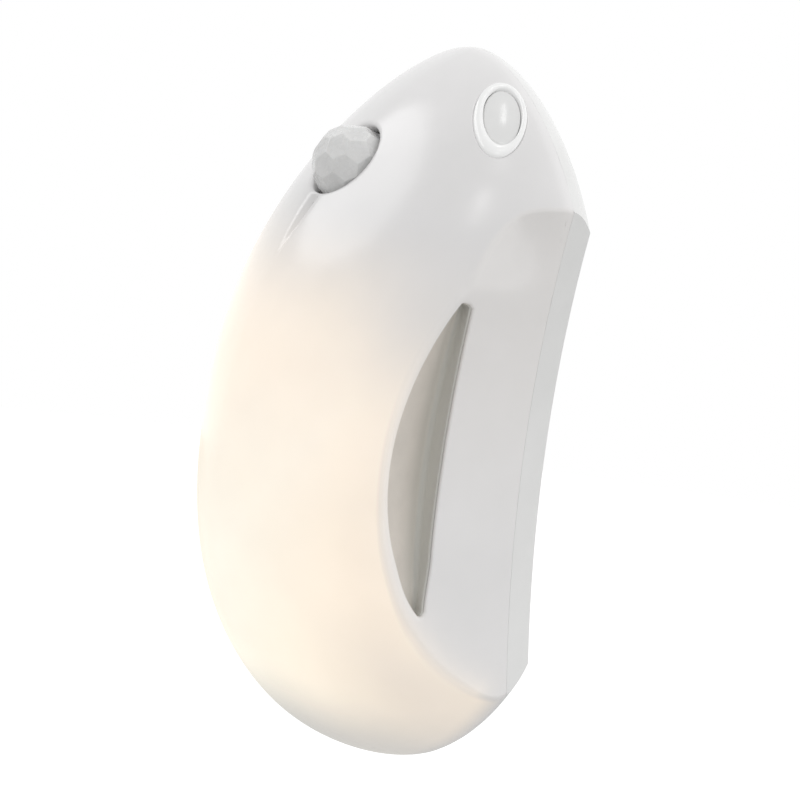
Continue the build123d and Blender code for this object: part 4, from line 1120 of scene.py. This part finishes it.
# The resistor's coat has four bands, worked out from its middle.
resistor = moulded("resistor_coat", (0.30, 0.42, 0.40), (0.26, 0.37, 0.355), (0.35, 0.5),
                   0.35, 0.01, blotch=2)
brown, dark, gold = (0.30, 0.13, 0.06), (0.02, 0.02, 0.02), (0.62, 0.48, 0.16)
resistor_x, band_half, coat_half = -3.0, 0.36, 4.5
for middle, tone in ((-2.9, brown), (-1.6, dark), (-0.3, brown), (2.6, gold)):
    reach = resistor.off((1, 0, 0), (resistor_x + middle, 0, 0))
    band = resistor.rest(beyond(resistor, reach, band_half, 0.04))
    resistor.colour = resistor.mix(band, resistor.colour, tone)
tin(resistor, beyond(resistor, resistor.off((1, 0, 0), (resistor_x, 0, 0)), coat_half, 0.03))
regulator = epoxy("regulator_epoxy")
tin(regulator, beyond(regulator, regulator.along((0, 1, 0)), board_face - 1.0, 0.03))
eased("main_board", 0.1, mains_board)
eased("film_capacitor", 0.1, film_box)
eased("smoothing_capacitor", 0.1, sleeve)
dress(nodes["bridge_rectifier"], rectifier)
dress(nodes["fuse_resistor"], resistor)
dress(nodes["voltage_regulator"], regulator)
dress(nodes["board_screws"], steel)


# ---- Leads ------------------------------------------------------------------------------
# Short insulated leads from the mains board: a stiff pair to the lamps, three to the sensor board
# and two to the switch. Red and black sleeves take turns.


def lead_look(name, pitch, shift):
    """Two colours of PVC sleeve that take turns across X."""
    look = moulded(name, (0.52, 0.05, 0.04), (0.45, 0.042, 0.034), (0.35, 0.5), 0.25, 0.01, blotch=3)
    turn = look.math("FRACT", look.times(look.along((1, 0, 0), (shift, 0, 0)), 1 / (2 * pitch)))
    is_black = look.math("GREATER_THAN", turn, 0.5)
    look.set("Base Color", look.mix(is_black, look.colour, (0.03, 0.03, 0.032)))
    return look


for user, pitch, shift in (("lamp", 6.0, -6.0), ("sensor", 1.4, -4.7), ("switch", 1.5, 8.7)):
    dress(nodes[user + "_leads"], lead_look(user + "_lead_sleeves", pitch, shift))


# ---- Rear housing -----------------------------------------------------------------------
# An opaque white tray, moulded with the well for the folding plug, that closes the pod against
# the wall. Four screws sunk in its back reach into the cover's bosses.

shell_look = moulded("housing_gloss_white", (0.80, 0.80, 0.793), (0.77, 0.77, 0.763), (0.18, 0.27),
                     1.2, 0.006)
dress(nodes["rear_housing"], shell_look)
dress(nodes["housing_screws"], steel)


# ---- Folding plug -----------------------------------------------------------------------
# Two flat brass blades moulded into a round bar, which turns on the blades' own pins. Bronze
# contacts press on the pins and carry the mains to the board.

hub_look = moulded("hub_nylon", (0.80, 0.80, 0.78), (0.74, 0.74, 0.72), (0.4, 0.52), 0.5, 0.015, blotch=6)
brass = metal("blade_brass", (0.82, 0.72, 0.47), (0.72, 0.62, 0.38), (0.2, 0.34), 0.3, 0.004,
              stretch=(1, 1, 0.12))
bronze = metal("contact_bronze", (0.76, 0.50, 0.31), (0.66, 0.42, 0.25), (0.25, 0.38), 0.3,
               stretch=(1, 0.15, 1))
eased("plug_hub", 0.12, hub_look)
eased("blade_left", 0.16, brass)
eased("blade_right", 0.16, brass)
eased("plug_contacts", 0.08, bronze)


# ---- Floor, light and camera ------------------------------------------------------------
# A plain pale floor far below the plug's height, soft studio light, and the camera.

floor_level, floor_reach = -300, 1400
floor_glow, sky_light, sky_seen = 0.6, 0.82, 1.0
floor = Weave()
rim_angles = np.linspace(0, 2 * np.pi, 96, endpoint=False)
disc = as_points(floor_reach * np.cos(rim_angles), floor_reach * np.sin(rim_angles), floor_level)
floor.face(floor.add(disc))
floor_piece = floor.to_object("studio_floor")
ground = Look("studio_floor_paper")
ground.set("Base Color", ground.mix(ground.noise(60, 3), (0.56, 0.56, 0.555), (0.60, 0.60, 0.595)))
ground.set("Roughness", 0.9)
ground.set("Specular IOR Level", 0.1)
ground.set("Emission Color", (1.0, 1.0, 1.0))
camera_ray = ground.node("ShaderNodeLightPath").outputs["Is Camera Ray"]
ground.set("Emission Strength", ground.times(camera_ray, floor_glow))
dress(floor_piece, ground)

# The world is white where it is seen, also in a reflection, and dimmer where it only lights.
world = bpy.data.worlds.new("studio")
bpy.context.scene.world = world
world.use_nodes = True
sky = world.node_tree
sky.nodes.clear()
path = add_node(sky, "ShaderNodeLightPath").outputs
glossy_too = add_node(sky, "ShaderNodeMath", {0: path["Is Camera Ray"], 1: path["Is Glossy Ray"]})
through_too = add_node(
    sky, "ShaderNodeMath", {0: glossy_too.outputs[0], 1: path["Is Transmission Ray"]}, use_clamp=True)
lit, seen = [add_node(sky, "ShaderNodeBackground", {"Color": (1, 1, 1), "Strength": level}).outputs[0]
             for level in (sky_light, sky_seen)]
choose = add_node(sky, "ShaderNodeMixShader", {0: through_too.outputs[0], 1: lit, 2: seen})
add_node(sky, "ShaderNodeOutputWorld", {"Surface": choose.outputs[0]})


def aimed(made, first, way, at):
    """Puts an object at a place in metres, with its Z along way and its X as near to first as fits."""
    way = unit(np.array(way, float))
    first = unit(first - way * (first @ way))
    made.matrix_world = Matrix((first, np.cross(way, first), way)).transposed().to_4x4()
    made.location = at


def lamp_panel(name, way, distance, size, radiance, seen_by="diffuse", along=None, shape="RECTANGLE"):
    """A flat light aimed at the object's middle. Its first size runs along a direction, level
    unless given, and it reaches the kind of rays named in seen_by."""
    data = bpy.data.lights.new(name, "AREA")
    data.shape = shape
    data.size, data.size_y = size
    data.energy = radiance * np.pi * size[0] * size[1]
    made = put_in_scene(name, data)
    made.visible_glossy = seen_by == "gloss"
    made.visible_diffuse = seen_by == "diffuse"
    first = np.cross((0, 0, 1), way) if along is None else np.array(along, float)
    aimed(made, first, way, unit(np.array(way, float)) * distance)


lamp_panel("panel_overhead", (0, 0.45, 0.9), 1.2, (1.2, 1.2), 1.05)
lamp_panel("panel_right", (1, 0.5, -0.6), 1.2, (1.0, 1.0), 2.35)
lamp_panel("panel_low_left", (-1, -0.6, -0.5), 1.2, (1.0, 1.0), 0.65)
lamp_panel("panel_left", (-0.62, -0.6, 0.61), 0.8, (0.6, 0.4), 2.1 * np.pi / 4, "gloss", shape="ELLIPSE")
lamp_panel("strip_upper", (-0.27, -0.24, 0.93), 0.8, (0.15, 0.03), 5.0, "gloss", (0.12, -0.14, 0))
lamp_panel("strip_middle", (-0.055, -0.45, 0.89), 0.8, (0.05, 0.03), 5.0, "gloss", (0.6, -0.8, 0))
lamp_panel("strip_lower", (0.045, -0.625, 0.78), 0.8, (0.11, 0.04), 5.0, "gloss", (0.05, -0.09, -0.07))

camera_place, camera_way = (0.34751, -0.18922, 0.07458), np.array([0.87204, -0.45285, 0.18567])
camera_up = np.array([-0.22235, -0.02861, 0.97455])
camera_data = bpy.data.cameras.new("camera")
camera_data.lens = 120.355
camera_data.sensor_width = 36.0
camera_data.clip_start = 0.01
camera = put_in_scene("camera", camera_data)
aimed(camera, np.cross(camera_up, camera_way), camera_way, camera_place)
bpy.context.scene.camera = camera
bpy.context.scene.view_settings.view_transform = "Standard"
